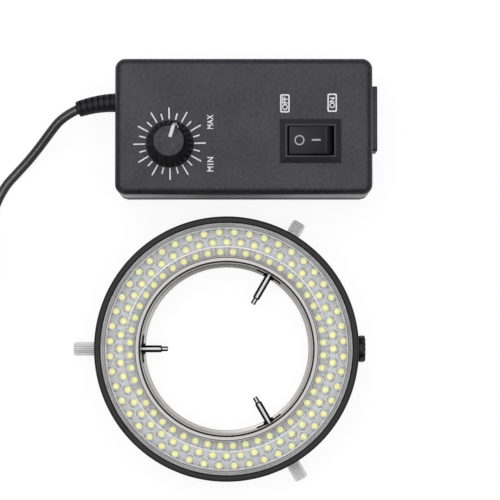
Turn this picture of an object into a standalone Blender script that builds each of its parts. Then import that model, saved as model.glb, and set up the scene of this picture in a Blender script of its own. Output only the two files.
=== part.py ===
"""Microscope ring light with its dimmer box, as separate solids in metres, +Z up.

The ring head lies on the table with its LEDs up. The dimmer box lies beside it with its controls up.
The origin is at the middle of the footprint of both, without the lead, at table level.
"""

import math

import bmesh
import bpy
import numpy as np
from mathutils import Matrix, Vector

# Fits shared by every sub-part
SEAT_GAP = 0.0003
CUT_OVERRUN = 0.001
JOIN_OVERLAP = 0.0002
EMPTY_SIZE = 0.0020

# Ring head: radii from its own axis, heights from the table
RING_OUTER_RADIUS = 0.0476
RING_HEIGHT = 0.0200
RIM_WIDTH = 0.0022
RIM_FILLET = 0.0008
RING_WALL = 0.0033
BOARD_LEDGE_WIDTH = 0.0017
CHANNEL_WIDTH = 0.0113
FLOOR_THICKNESS = 0.0020

# Mounting collar inside the ring head
SHOULDER_STEP = 0.0012
SHOULDER_HEIGHT = 0.0030
COLLAR_WALL = 0.0020
COLLAR_HEIGHT = 0.0194
LIP_GROOVE_WIDTH = 0.0004
LIP_GROOVE_DEPTH = 0.0009
COVER_SEAT_WIDTH = 0.0006
FLANGE_WIDTH = 0.0040
FLANGE_THICKNESS = 0.0018

# Collar screws, from below through the floor into the flange
COLLAR_SCREW_ANGLES = (0.0, 120.0, 240.0)
COLLAR_SCREW_RADIUS = 0.0010
COLLAR_SCREW_HEAD_RADIUS = 0.0017
COLLAR_SCREW_HEAD_DEPTH = 0.0009
SCREW_HEAD_SINK = 0.0002

# Circuit board with three circles of LEDs
BOARD_HEIGHT = 0.0110
BOARD_THICKNESS = 0.0016
LED_COUNT = 48
LED_RADIUS = 0.00145
LED_LENGTH = 0.0047
LED_TOP_RADIUS = 0.0009
LED_TILT = 6.0
LED_STRIP_WIDTH = 0.0031
LED_STRIP_THICKNESS = 0.0005
LED_CIRCLE_INSETS = (0.0093, 0.0058, 0.0023)
LED_CIRCLE_NAMES = ("inner", "middle", "outer")
LED_TURN_SHARES = (0.5, 0.0, 0.5)

# Clear cover plate in the rim's rabbet
COVER_THICKNESS = 0.0015
COVER_SINK = 0.0004

# Three thumb screws, places along their own axis from the tip outwards
THUMB_SCREW_NAMES = ("left", "upper", "lower")
THUMB_SCREW_ANGLES = (180.0, 60.0, 300.0)
THUMB_SCREW_STANDOUTS = (0.0080, 0.0054, 0.0069)
THUMB_SCREW_HEIGHT = 0.0070
THUMB_SCREW_LENGTH = 0.0342
HEAD_LENGTH = 0.0130
HEAD_RADIUS = 0.0024
HEAD_CHAMFER = 0.0004
HEAD_TEETH = 16
KNURL_DEPTH = 0.00018
HEAD_BORE_DEPTH = 0.0060
HEAD_HOLE_CLEARANCE = 0.00045
SHANK_RADIUS = 0.0013
DOG_RADIUS = 0.0009
DOG_LENGTH = 0.0021
DOG_CHAMFER = 0.0004

# Power jack in the ring head's wall
JACK_HEIGHT = 0.0065
JACK_FLANGE_RADIUS = 0.00485
JACK_PROUD = 0.0027
JACK_FILLET = 0.0005
JACK_NECK_RADIUS = 0.0038
JACK_BORE_RADIUS = 0.0030
JACK_BODY_LENGTH = 0.0042
JACK_BODY_WIDTH = 0.0090
JACK_BODY_HEIGHT = 0.0076
JACK_BODY_CHAMFER = 0.0004
JACK_PIN_RADIUS = 0.0010
JACK_PIN_RECESS = 0.0010
JACK_PIN_ROOT = 0.0020
BOARD_WIRE_RADIUS = 0.0006
BOARD_WIRE_REACH = 0.0062
BOARD_WIRE_SHARES = (0.35, 0.80)

# Dimmer box: its place beside the ring head, then its shells
BOX_OFFSET_X = 0.0062
BOX_RING_GAP = 0.00715
BOX_LENGTH = 0.0916
BOX_WIDTH = 0.0485
BOX_HEIGHT = 0.0320
BOX_CORNER_RADIUS = 0.0034
BOX_TOP_FILLET = 0.0021
BOX_WALL = 0.0018
BACK_THICKNESS = 0.0022
BACK_CHAMFER = 0.0004
BOSS_INSET = 0.0064
BOSS_RADIUS = 0.0032
CASE_SCREW_RADIUS = 0.0012
CASE_SCREW_HEAD_RADIUS = 0.0023
CASE_SCREW_HEAD_DEPTH = 0.0012
CASE_SCREW_LENGTH = 0.0095

# Dimmer knob and the potentiometer that carries it, inset from the box's left end and front side
KNOB_INSET = 0.0196
KNOB_FRONT_INSET = 0.01785
KNOB_BASE_RADIUS = 0.00825
KNOB_TOP_RADIUS = 0.0053
KNOB_HEIGHT = 0.0132
KNOB_SKIRT_HEIGHT = 0.0012
KNOB_TOP_FILLET = 0.0005
KNOB_LIFT = 0.0004
KNOB_HOLLOW_RADIUS = 0.0062
KNOB_HOLLOW_DEPTH = 0.0046
KNOB_RIBS = 18
KNOB_RIB_DEPTH = 0.00025
POINTER_ANGLE = 73.3
POINTER_WIDTH = 0.0010
POINTER_DEPTH = 0.0004
POINTER_PLACE_SHARE = 0.8
SHAFT_RADIUS = 0.0030
SHAFT_NECK_RADIUS = 0.0025
SHAFT_GRIP = 0.0062
BUSHING_RADIUS = 0.0035
BUSHING_BORE_CLEARANCE = 0.0003
BUSHING_HEIGHT = 0.0046
POT_RADIUS = 0.0080
POT_DEPTH = 0.0085
PANEL_HOLE_CLEARANCE = 0.0003
WASHER_RADIUS = 0.0052
WASHER_THICKNESS = 0.0005
NUT_ACROSS_FLATS = 0.0100
NUT_THICKNESS = 0.0020

# Rocker switch, inset from the box's right end, pivot below the bezel's top
SWITCH_INSET = 0.0221
SWITCH_OFFSET_SHARE = 0.10928
BEZEL_LENGTH = 0.0215
BEZEL_WIDTH = 0.0154
BEZEL_THICKNESS = 0.0018
BEZEL_CHAMFER = 0.0007
SWITCH_BODY_WALL = 0.0013
SWITCH_BODY_DEPTH = 0.0116
SWITCH_FLOOR = 0.0030
ROCKER_WELL_LENGTH = 0.0166
ROCKER_WELL_WIDTH = 0.0105
ROCKER_SIDE_GAP = 0.0003
ROCKER_PIVOT_DEPTH = 0.0030
ROCKER_END_GAP = 0.0003
ROCKER_CORNER_ANGLE = 37.5
ROCKER_TILT = 11.0
ROCKER_DISH = 0.0005
ROCKER_DISH_SHARES = (0.6, 0.2, -0.2, -0.6)
ROCKER_SKIRT_ANGLE = 18.0
ROCKER_FOOT_DEPTH = 0.0046
ROCKER_FOOT_HALF = 0.0022
TRUNNION_RADIUS = 0.0008
TRUNNION_LENGTH = 0.0010
TERMINAL_SPACING = 0.0100
TERMINAL_WIDTH = 0.0048
TERMINAL_THICKNESS = 0.0008
TERMINAL_LENGTH = 0.0085
TERMINAL_SEAT = 0.0020

# Mains inlet in the right wall, its place and its socket as shares of its body's width
INLET_OFFSET_SHARE = 0.175
INLET_HEIGHT_SHARE = 0.5
INLET_FLANGE_LIP = 0.0017
INLET_FLANGE_HEIGHT = 0.0140
INLET_FLANGE_THICKNESS = 0.0018
INLET_FLANGE_CORNER = 0.0022
INLET_FLANGE_CHAMFER = 0.0004
INLET_BODY_SIDE_CLEARANCE = 0.01425
INLET_BODY_HEIGHT = 0.0112
INLET_BODY_DEPTH = 0.0110
INLET_BODY_CORNER = 0.0015
INLET_LOBE_SHARE = 0.20
INLET_WAIST_SHARE = 0.8
INLET_PIN_SPACING_SHARE = 0.43
INLET_PIN_RADIUS = 0.0012
INLET_CAVITY_DEPTH = 0.0108
INLET_PIN_RECESS = 0.0016
INLET_TAB_LENGTH = 0.0036

# Driver board, inset from the box's ends and sides, and its parts, inset from the board's ends and sides
DRIVER_BOARD_LEFT_INSET = 0.0118
DRIVER_BOARD_RIGHT_INSET = 0.0188
DRIVER_BOARD_SIDE_INSET = 0.00525
DRIVER_BOARD_THICKNESS = 0.0016
DRIVER_BOARD_HEIGHT = 0.0050
POST_INSET = 0.0030
POST_RADIUS = 0.0024
POST_PIN_RADIUS = 0.0010
POST_PIN_HEIGHT = 0.0012
TRANSFORMER_RIGHT_INSET = 0.0310
TRANSFORMER_BACK_INSET = 0.0110
TRANSFORMER_LENGTH = 0.0190
TRANSFORMER_WIDTH = 0.0160
TRANSFORMER_HEIGHT = 0.0140
TRANSFORMER_WAIST = 0.0030
TRANSFORMER_COIL_RISE = 0.0016
MAINS_CAPACITOR_RIGHT_INSET = 0.0120
MAINS_CAPACITOR_BACK_INSET = 0.0065
MAINS_CAPACITOR_RADIUS = 0.0050
MAINS_CAPACITOR_HEIGHT = 0.0140
OUTPUT_CAPACITOR_LEFT_INSET = 0.0080
OUTPUT_CAPACITOR_FRONT_INSET = 0.0070
OUTPUT_CAPACITOR_RADIUS = 0.0032
OUTPUT_CAPACITOR_HEIGHT = 0.0090
CAPACITOR_FILLET = 0.0006
CHOKE_RIGHT_INSET = 0.0160
CHOKE_FRONT_INSET = 0.0070
CHOKE_RADIUS = 0.0036
CHOKE_WIRE_RADIUS = 0.0017
REGULATOR_LEFT_INSET = 0.0185
REGULATOR_FRONT_INSET = 0.0060
REGULATOR_LENGTH = 0.0100
REGULATOR_WIDTH = 0.0045
REGULATOR_HEIGHT = 0.0090
REGULATOR_TAB_THICKNESS = 0.0012
REGULATOR_TAB_RISE = 0.0050
FUSE_RIGHT_INSET = 0.0045
FUSE_FRONT_INSET = 0.0080
FUSE_LENGTH = 0.0100
FUSE_RADIUS = 0.0026
FUSE_CAP_LENGTH = 0.0030
FUSE_GLASS_RADIUS = 0.0022
WIRE_RADIUS = 0.0007

# Strain relief in the left wall
RELIEF_Y = 0.0099
RELIEF_HEIGHT_SHARE = 0.5
RELIEF_ROOT_RADIUS = 0.00342
RELIEF_END_RADIUS = 0.00275
RELIEF_NECK_RADIUS = 0.0027
RELIEF_FLANGE_RADIUS = 0.0040
RELIEF_FLANGE_THICKNESS = 0.0016
RELIEF_LENGTH = 0.0142
RELIEF_DROP = 0.0023
RELIEF_SAG = 0.0012
RELIEF_RIBS = 6
RELIEF_GROOVE_DEPTH = 0.0007
RELIEF_RIB_SHARE = 0.55
RELIEF_END_SHARE = 0.95
RIB_EDGE = 0.0002

# Output lead, its route as offsets from the strain relief's end, heights from the table
LEAD_RADIUS = 0.00172
LEAD_POINT_SPACING = 0.0040
LEAD_ROUTE = (
    (-0.0034, -0.0017, 0.0140),
    (-0.0065, -0.0038, 0.0128),
    (-0.0088, -0.0061, 0.0113),
    (-0.0117, -0.0095, 0.0089),
    (-0.0149, -0.0133, 0.0063),
    (-0.0187, -0.0176, 0.0039),
    (-0.0229, -0.0220, 0.0023),
    (-0.0272, -0.0268, 0.00175),
    (-0.0306, -0.0330, 0.00175),
    (-0.0328, -0.0400, 0.00175),
    (-0.0335, -0.0470, 0.00175),
)
COIL_TURNS = 7.5
COIL_LAYERS = 4
COIL_MIDDLE_RADIUS = 0.0190
COIL_GAP = 0.00052
COIL_STRAIGHT = 0.0036
COIL_CLIMB_SHARE = 0.5
COIL_LOOP_POINTS = 24

# Plug at the end of the lead
PLUG_ROUTE = (
    (0.0000, 0.0060, 0.0128),
    (0.0000, 0.0130, 0.0098),
    (0.0000, 0.0200, 0.0068),
    (0.0000, 0.0270, 0.0053),
    (0.0000, 0.0330, 0.0050),
)
PLUG_AXIS_HEIGHT = 0.0050
PLUG_BOOT_RADIUS = 0.0025
PLUG_BOOT_LENGTH = 0.0080
PLUG_BOOT_RIBS = 3
PLUG_BOOT_FLARE_SHARE = 0.5
PLUG_GROOVE_SHARE = 0.35
PLUG_BODY_RADIUS = 0.0048
PLUG_BODY_LENGTH = 0.0170
PLUG_FILLET = 0.0008
PLUG_BARREL_RADIUS = 0.00275
PLUG_BARREL_BORE = 0.00125
PLUG_BARREL_LENGTH = 0.0095
PLUG_BARREL_BORE_DEPTH = 0.0080

# Facets of round shapes
WIDE_STEPS = 48
LED_STRIP_STEPS = 48
LED_SIDES = 6
SMALL_STEPS = 16
TINY_STEPS = 8
CORNER_SEGMENTS = 3
FILLET_SEGMENTS = 3
FILLET_POINTS = 3
KNOB_TOP_SEGMENTS = 2
ROCKER_END_POINTS = 7
CHOKE_SIDES = 6
LEAD_RESOLUTION = 2
THIN_RESOLUTION = 1
ROUTE_STEPS = 24
SMOOTH_ANGLE = 35.0
MERGE_DISTANCE = 0.00001

# Values worked out from the sizes above
RIM_INNER_RADIUS = RING_OUTER_RADIUS - RIM_WIDTH
WALL_INNER_RADIUS = RING_OUTER_RADIUS - RING_WALL
COLLAR_RADIUS = WALL_INNER_RADIUS - CHANNEL_WIDTH
BORE_RADIUS = COLLAR_RADIUS - COLLAR_WALL
COVER_SEAT_RADIUS = COLLAR_RADIUS + COVER_SEAT_WIDTH
FLANGE_RADIUS = COLLAR_RADIUS + FLANGE_WIDTH
FLANGE_BOTTOM = FLOOR_THICKNESS + SEAT_GAP
FLANGE_TOP = FLANGE_BOTTOM + FLANGE_THICKNESS
FLOOR_HOLE_RADIUS = COLLAR_RADIUS + SEAT_GAP
COLLAR_SCREW_CIRCLE = (FLOOR_HOLE_RADIUS + FLANGE_RADIUS) / 2 + SEAT_GAP
LEDGE_RADIUS = WALL_INNER_RADIUS - BOARD_LEDGE_WIDTH
LEDGE_HEIGHT = BOARD_HEIGHT - SEAT_GAP
BOARD_TOP = BOARD_HEIGHT + BOARD_THICKNESS
BOARD_INNER_RADIUS = COVER_SEAT_RADIUS + SEAT_GAP
BOARD_OUTER_RADIUS = WALL_INNER_RADIUS - SEAT_GAP
COVER_TOP = RING_HEIGHT - COVER_SINK
COVER_BOTTOM = COVER_TOP - COVER_THICKNESS
COVER_SEAT_HEIGHT = COVER_BOTTOM - SEAT_GAP
LED_BASE = BOARD_TOP + SEAT_GAP
LED_TOP_CIRCLE_RADII = tuple(WALL_INNER_RADIUS - inset for inset in LED_CIRCLE_INSETS)
THUMB_SCREW_REACHES = tuple(RING_OUTER_RADIUS + standout for standout in THUMB_SCREW_STANDOUTS)
HEAD_HOLE_RADIUS = HEAD_RADIUS + HEAD_HOLE_CLEARANCE
THREAD_HOLE_RADIUS = SHANK_RADIUS + SEAT_GAP
JACK_HOLE_RADIUS = JACK_NECK_RADIUS + SEAT_GAP
JACK_FACE = RING_OUTER_RADIUS + JACK_PROUD
JACK_BODY_FACE = LEDGE_RADIUS - SEAT_GAP

BOX_OFFSET_Y = RING_OUTER_RADIUS + BOX_RING_GAP + BOX_WIDTH / 2
LEFT_REACH = THUMB_SCREW_REACHES[0]
RIGHT_REACH = BOX_OFFSET_X + BOX_LENGTH / 2 + SEAT_GAP + INLET_FLANGE_THICKNESS
LOWER_TURN = math.radians(360.0 - THUMB_SCREW_ANGLES[2])
LOWER_REACH = THUMB_SCREW_REACHES[2] * math.sin(LOWER_TURN) + HEAD_RADIUS * math.cos(LOWER_TURN)
UPPER_REACH = BOX_OFFSET_Y + BOX_WIDTH / 2
RING_X = (LEFT_REACH - RIGHT_REACH) / 2
RING_Y = (LOWER_REACH - UPPER_REACH) / 2
BOX_X = RING_X + BOX_OFFSET_X
BOX_Y = RING_Y + BOX_OFFSET_Y

KNOB_X = KNOB_INSET - BOX_LENGTH / 2
KNOB_Y = KNOB_FRONT_INSET - BOX_WIDTH / 2
SWITCH_X = BOX_LENGTH / 2 - SWITCH_INSET
SWITCH_Y = -BOX_WIDTH * SWITCH_OFFSET_SHARE
INLET_HEIGHT = BOX_HEIGHT * INLET_HEIGHT_SHARE
INLET_BODY_WIDTH = BOX_WIDTH - 2 * INLET_BODY_SIDE_CLEARANCE
INLET_FLANGE_WIDTH = INLET_BODY_WIDTH + 2 * INLET_FLANGE_LIP
INLET_Y = INLET_BODY_WIDTH * INLET_OFFSET_SHARE
INLET_LOBE_RADIUS = INLET_BODY_WIDTH * INLET_LOBE_SHARE
INLET_PIN_SPACING = INLET_BODY_WIDTH * INLET_PIN_SPACING_SHARE
DRIVER_BOARD_LEFT = DRIVER_BOARD_LEFT_INSET - BOX_LENGTH / 2
DRIVER_BOARD_RIGHT = BOX_LENGTH / 2 - DRIVER_BOARD_RIGHT_INSET
DRIVER_BOARD_BACK = BOX_WIDTH / 2 - DRIVER_BOARD_SIDE_INSET
DRIVER_BOARD_LENGTH = DRIVER_BOARD_RIGHT - DRIVER_BOARD_LEFT
DRIVER_BOARD_WIDTH = 2 * DRIVER_BOARD_BACK
DRIVER_BOARD_X = (DRIVER_BOARD_LEFT + DRIVER_BOARD_RIGHT) / 2
TRANSFORMER_X = DRIVER_BOARD_RIGHT - TRANSFORMER_RIGHT_INSET
TRANSFORMER_Y = DRIVER_BOARD_BACK - TRANSFORMER_BACK_INSET
MAINS_CAPACITOR_X = DRIVER_BOARD_RIGHT - MAINS_CAPACITOR_RIGHT_INSET
MAINS_CAPACITOR_Y = DRIVER_BOARD_BACK - MAINS_CAPACITOR_BACK_INSET
OUTPUT_CAPACITOR_X = DRIVER_BOARD_LEFT + OUTPUT_CAPACITOR_LEFT_INSET
OUTPUT_CAPACITOR_Y = OUTPUT_CAPACITOR_FRONT_INSET - DRIVER_BOARD_BACK
CHOKE_X = DRIVER_BOARD_RIGHT - CHOKE_RIGHT_INSET
CHOKE_Y = CHOKE_FRONT_INSET - DRIVER_BOARD_BACK
REGULATOR_X = DRIVER_BOARD_LEFT + REGULATOR_LEFT_INSET
REGULATOR_Y = REGULATOR_FRONT_INSET - DRIVER_BOARD_BACK
FUSE_X = DRIVER_BOARD_RIGHT - FUSE_RIGHT_INSET
FUSE_Y = FUSE_FRONT_INSET - DRIVER_BOARD_BACK
SHELL_BOTTOM = BACK_THICKNESS + SEAT_GAP
PANEL_UNDERSIDE = BOX_HEIGHT - BOX_WALL
KNOB_BOTTOM = BOX_HEIGHT + KNOB_LIFT
PIVOT_HEIGHT = BOX_HEIGHT + SEAT_GAP + BEZEL_THICKNESS - ROCKER_PIVOT_DEPTH
SWITCH_BOTTOM = BOX_HEIGHT - SWITCH_BODY_DEPTH
SWITCH_BODY_LENGTH = ROCKER_WELL_LENGTH + 2 * SWITCH_BODY_WALL
SWITCH_BODY_WIDTH = ROCKER_WELL_WIDTH + 2 * SWITCH_BODY_WALL
ROCKER_RADIUS = ROCKER_WELL_LENGTH / 2 - ROCKER_END_GAP
PARTS_BASE = DRIVER_BOARD_HEIGHT + DRIVER_BOARD_THICKNESS + SEAT_GAP
INLET_TAB_X = BOX_LENGTH / 2 - INLET_BODY_DEPTH
RELIEF_HOLE_RADIUS = RELIEF_NECK_RADIUS + SEAT_GAP
RELIEF_HEIGHT = BOX_HEIGHT * RELIEF_HEIGHT_SHARE
RELIEF_END = Vector((BOX_X - BOX_LENGTH / 2 - RELIEF_LENGTH, BOX_Y + RELIEF_Y - RELIEF_DROP,
                     RELIEF_HEIGHT - RELIEF_SAG))


def clear_scene():
    for obj in list(bpy.data.objects):
        bpy.data.objects.remove(obj, do_unlink=True)


def new_collection(name):
    made = bpy.data.collections.new(name)
    bpy.context.scene.collection.children.link(made)
    return made


def new_material(name, colour, roughness, metallic=0.0, alpha=1.0):
    made = bpy.data.materials.new(name)
    made.use_nodes = True
    shader = made.node_tree.nodes["Principled BSDF"]
    shader.inputs["Base Color"].default_value = (*colour, 1.0)
    shader.inputs["Roughness"].default_value = roughness
    shader.inputs["Metallic"].default_value = metallic
    shader.inputs["Alpha"].default_value = alpha
    made.diffuse_color = (*colour, alpha)
    return made


clear_scene()
PARTS = new_collection("microscope_ring_light")
CUTTERS = new_collection("cutters")

BLACK_PLASTIC = new_material("black_plastic", (0.035, 0.034, 0.036), 0.45)
CASE_PLASTIC = new_material("case_plastic", (0.070, 0.066, 0.070), 0.60)
KNOB_PLASTIC = new_material("knob_plastic", (0.045, 0.044, 0.046), 0.50)
SOFT_PLASTIC = new_material("soft_plastic", (0.030, 0.030, 0.032), 0.65)
ALUMINIUM = new_material("aluminium", (0.78, 0.78, 0.79), 0.32, 1.0)
STEEL = new_material("steel", (0.42, 0.41, 0.40), 0.30, 1.0)
NICKEL = new_material("nickel", (0.70, 0.68, 0.64), 0.22, 1.0)
BRASS = new_material("brass", (0.72, 0.55, 0.25), 0.30, 1.0)
COPPER = new_material("copper", (0.72, 0.38, 0.20), 0.35, 1.0)
WHITE_BOARD = new_material("white_board", (0.62, 0.66, 0.68), 0.50)
GREEN_BOARD = new_material("green_board", (0.05, 0.22, 0.10), 0.45)
CLEAR_LED = new_material("clear_led", (0.85, 0.80, 0.55), 0.10, 0.0, 0.6)
CLEAR_PLATE = new_material("clear_plate", (0.86, 0.90, 0.92), 0.08, 0.0, 0.25)
TRANSFORMER_TAPE = new_material("transformer_tape", (0.75, 0.62, 0.12), 0.50)
CAPACITOR_SLEEVE = new_material("capacitor_sleeve", (0.05, 0.07, 0.16), 0.40)
RED_SLEEVE = new_material("red_sleeve", (0.45, 0.03, 0.03), 0.50)
BLUE_SLEEVE = new_material("blue_sleeve", (0.04, 0.12, 0.45), 0.50)
BROWN_SLEEVE = new_material("brown_sleeve", (0.20, 0.09, 0.04), 0.50)
BLACK_SLEEVE = new_material("black_sleeve", (0.03, 0.03, 0.03), 0.50)


def place(name, data, material, location, rotation=(0, 0, 0), collection=PARTS, parent=None):
    """Puts a mesh or curve in the scene as one named object."""
    made = bpy.data.objects.new(name, data)
    collection.objects.link(made)
    if material:
        data.materials.append(material)
    made.location = location
    made.rotation_euler = rotation
    made.parent = parent
    if collection is CUTTERS:
        made.hide_render = True
        made.display_type = "WIRE"
    return made


def pivot(name, location, parent=None):
    made = bpy.data.objects.new(name, None)
    PARTS.objects.link(made)
    made.location = location
    made.parent = parent
    made.empty_display_size = EMPTY_SIZE
    return made


def mesh_from(name, shape, smooth=True):
    """Turns a bmesh into a mesh whose round stretches are shaded smooth."""
    bmesh.ops.recalc_face_normals(shape, faces=shape.faces)
    mesh = bpy.data.meshes.new(name)
    shape.to_mesh(mesh)
    shape.free()
    if smooth:
        mesh.shade_smooth()
        mesh.set_sharp_from_angle(angle=math.radians(SMOOTH_ANGLE))
    return mesh


def box_mesh(name, size, corner=0.0, top_edge=0.0, bottom_edge=0.0, segments=FILLET_SEGMENTS):
    """A box centred in plan that stands on zero, with upright corners and end edges rounded on request."""
    shape = bmesh.new()
    bmesh.ops.create_cube(shape, size=1)
    bmesh.ops.scale(shape, vec=size, verts=shape.verts)
    bmesh.ops.translate(shape, vec=(0, 0, size[2] / 2), verts=shape.verts)
    if corner:
        upright = [e for e in shape.edges if abs(e.verts[0].co.z - e.verts[1].co.z) > MERGE_DISTANCE]
        bmesh.ops.bevel(shape, geom=upright, offset=corner, segments=CORNER_SEGMENTS, profile=0.5,
                        affect="EDGES")
    for level, width in ((size[2], top_edge), (0, bottom_edge)):
        if width:
            rim = [e for e in shape.edges if all(abs(v.co.z - level) < MERGE_DISTANCE for v in e.verts)]
            bmesh.ops.bevel(shape, geom=rim, offset=width, segments=segments, profile=0.5, affect="EDGES")
    return mesh_from(name, shape)


def rod_mesh(name, radius, length, sides=SMALL_STEPS, top_radius=None):
    """A cylinder or cone that stands on zero."""
    shape = bmesh.new()
    bmesh.ops.create_cone(shape, cap_ends=True, segments=sides, radius1=radius,
                          radius2=radius if top_radius is None else top_radius, depth=length)
    bmesh.ops.translate(shape, vec=(0, 0, length / 2), verts=shape.verts)
    return mesh_from(name, shape)


def turned(name, profile, material, location, steps, closed, rotation=(0, 0, 0), collection=PARTS, parent=None):
    """A profile of radius and height, from the top down the outer side, turned round its own Z axis."""
    shape = bmesh.new()
    corners = [shape.verts.new((radius, 0, height)) for radius, height in profile]
    pairs = list(zip(corners, corners[1:]))
    if closed:
        pairs.append((corners[-1], corners[0]))
    for pair in pairs:
        shape.edges.new(pair)
    mesh = bpy.data.meshes.new(name)
    shape.to_mesh(mesh)
    shape.free()
    made = place(name, mesh, material, location, rotation, collection, parent)
    screw = made.modifiers.new("turn", "SCREW")
    screw.steps = steps
    screw.render_steps = steps
    screw.use_merge_vertices = True
    screw.merge_threshold = MERGE_DISTANCE
    screw.use_smooth_shade = True
    return made


def arc(centre, radius, start, end, count):
    """Points of an arc as radius and height, angles in degrees from outwards."""
    turns = np.radians(np.linspace(start, end, count))
    return [(centre[0] + radius * math.cos(t), centre[1] + radius * math.sin(t)) for t in turns]


def boolean(target, other, operation):
    modifier = target.modifiers.new(other.name, "BOOLEAN")
    modifier.operation = operation
    modifier.object = other
    modifier.solver = "EXACT"


def cut(target, *others):
    for other in others:
        boolean(target, other, "DIFFERENCE")


def join(target, *others):
    for other in others:
        boolean(target, other, "UNION")


def cutter(name, mesh, location, rotation=(0, 0, 0), parent=None):
    return place(name, mesh, None, location, rotation, CUTTERS, parent)


def smooth_route(points, spacing):
    """Points about one spacing apart on a smooth curve through the given ones."""
    through = [Vector(p) for p in points]
    ends = [2 * through[0] - through[1], *through, 2 * through[-1] - through[-2]]
    fine = []
    for before, a, b, after in zip(ends, ends[1:], ends[2:], ends[3:]):
        for share in np.linspace(0, 1, ROUTE_STEPS, endpoint=False):
            fine.append(0.5 * ((2 * a) + (b - before) * share
                               + (2 * before - 5 * a + 4 * b - after) * share ** 2
                               + (3 * a - before - 3 * b + after) * share ** 3))
    fine.append(through[-1])
    line = np.array(fine)
    along = np.concatenate([[0], np.cumsum(np.linalg.norm(np.diff(line, axis=0), axis=1))])
    at = np.linspace(0, along[-1], max(2, round(along[-1] / spacing)) + 1)
    return [Vector([np.interp(s, along, line[:, k]) for k in range(3)]) for s in at]


def tube(name, points, radius, material, resolution=LEAD_RESOLUTION, radii=None, parent=None):
    """A round tube with capped ends along the points, its radius scaled at each point where radii is given."""
    curve = bpy.data.curves.new(name, "CURVE")
    curve.dimensions = "3D"
    curve.bevel_depth = radius
    curve.bevel_resolution = resolution
    curve.use_fill_caps = True
    spline = curve.splines.new("POLY")
    spline.points.add(len(points) - 1)
    for i, point in enumerate(points):
        spline.points[i].co = (*point, 1)
        spline.points[i].radius = radii[i] / radius if radii else 1
    return place(name, curve, material, (0, 0, 0), parent=parent)


def round_spot(centre, radius, angle, height):
    turn = math.radians(angle)
    return (centre[0] + radius * math.cos(turn), centre[1] + radius * math.sin(turn), height)


def along_x(name, profile, material, location, steps, closed, parent):
    """A turned shape whose own axis points along X."""
    return turned(name, profile, material, location, steps, closed, (0, math.pi / 2, 0), parent=parent)


RING = pivot("ring_centre", (RING_X, RING_Y, 0))
BOX = pivot("box_centre", (BOX_X, BOX_Y, 0))


def make_ring_housing():
    rim = arc((RING_OUTER_RADIUS - RIM_FILLET, RING_HEIGHT - RIM_FILLET), RIM_FILLET, 90, 0, FILLET_POINTS)
    foot = [(RING_OUTER_RADIUS, RIM_FILLET), (RING_OUTER_RADIUS - RIM_FILLET, 0)]
    profile = rim + foot + [
        (FLOOR_HOLE_RADIUS, 0),
        (FLOOR_HOLE_RADIUS, FLOOR_THICKNESS),
        (LEDGE_RADIUS, FLOOR_THICKNESS),
        (LEDGE_RADIUS, LEDGE_HEIGHT),
        (WALL_INNER_RADIUS, LEDGE_HEIGHT),
        (WALL_INNER_RADIUS, COVER_SEAT_HEIGHT),
        (RIM_INNER_RADIUS, COVER_SEAT_HEIGHT),
        (RIM_INNER_RADIUS, RING_HEIGHT),
    ]
    housing = turned("ring_housing", profile, BLACK_PLASTIC, (0, 0, 0), WIDE_STEPS, True, parent=RING)
    wall = RING_OUTER_RADIUS - LEDGE_RADIUS
    for side, angle in zip(THUMB_SCREW_NAMES, THUMB_SCREW_ANGLES):
        hole = rod_mesh("head_hole_" + side, HEAD_HOLE_RADIUS, wall + 2 * CUT_OVERRUN)
        start = round_spot((0, 0), LEDGE_RADIUS - CUT_OVERRUN, angle, THUMB_SCREW_HEIGHT)
        cut(housing, cutter(hole.name, hole, start, (0, math.pi / 2, math.radians(angle)), RING))
    jack = rod_mesh("jack_hole", JACK_HOLE_RADIUS, wall + 2 * CUT_OVERRUN)
    cut(housing, cutter("jack_hole", jack, (LEDGE_RADIUS - CUT_OVERRUN, 0, JACK_HEIGHT), (0, math.pi / 2, 0), RING))
    for number, angle in enumerate(COLLAR_SCREW_ANGLES, 1):
        spot = round_spot((0, 0), COLLAR_SCREW_CIRCLE, angle, 0)
        cut(housing, screw_hole("floor_hole_%d" % number, spot, COLLAR_SCREW_RADIUS, COLLAR_SCREW_HEAD_RADIUS,
                                COLLAR_SCREW_HEAD_DEPTH, FLOOR_THICKNESS + CUT_OVERRUN, RING))


def screw_hole(name, spot, radius, head_radius, head_depth, length, parent):
    """The clearance for a countersunk screw that is driven upwards from the bottom face."""
    wide = head_radius + SEAT_GAP
    narrow = radius + SEAT_GAP
    sink = SCREW_HEAD_SINK + head_depth + SEAT_GAP
    profile = [(0, length), (narrow, length), (narrow, sink), (wide, SCREW_HEAD_SINK + SEAT_GAP),
               (wide, -CUT_OVERRUN), (0, -CUT_OVERRUN)]
    return turned(name, profile, None, spot, TINY_STEPS, False, collection=CUTTERS, parent=parent)


def countersunk_screw(name, spot, radius, head_radius, head_depth, length, parent):
    profile = [(0, length), (radius, length), (radius, SCREW_HEAD_SINK + head_depth),
               (head_radius, SCREW_HEAD_SINK), (0, SCREW_HEAD_SINK)]
    turned(name, profile, STEEL, spot, TINY_STEPS, False, parent=parent)


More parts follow.
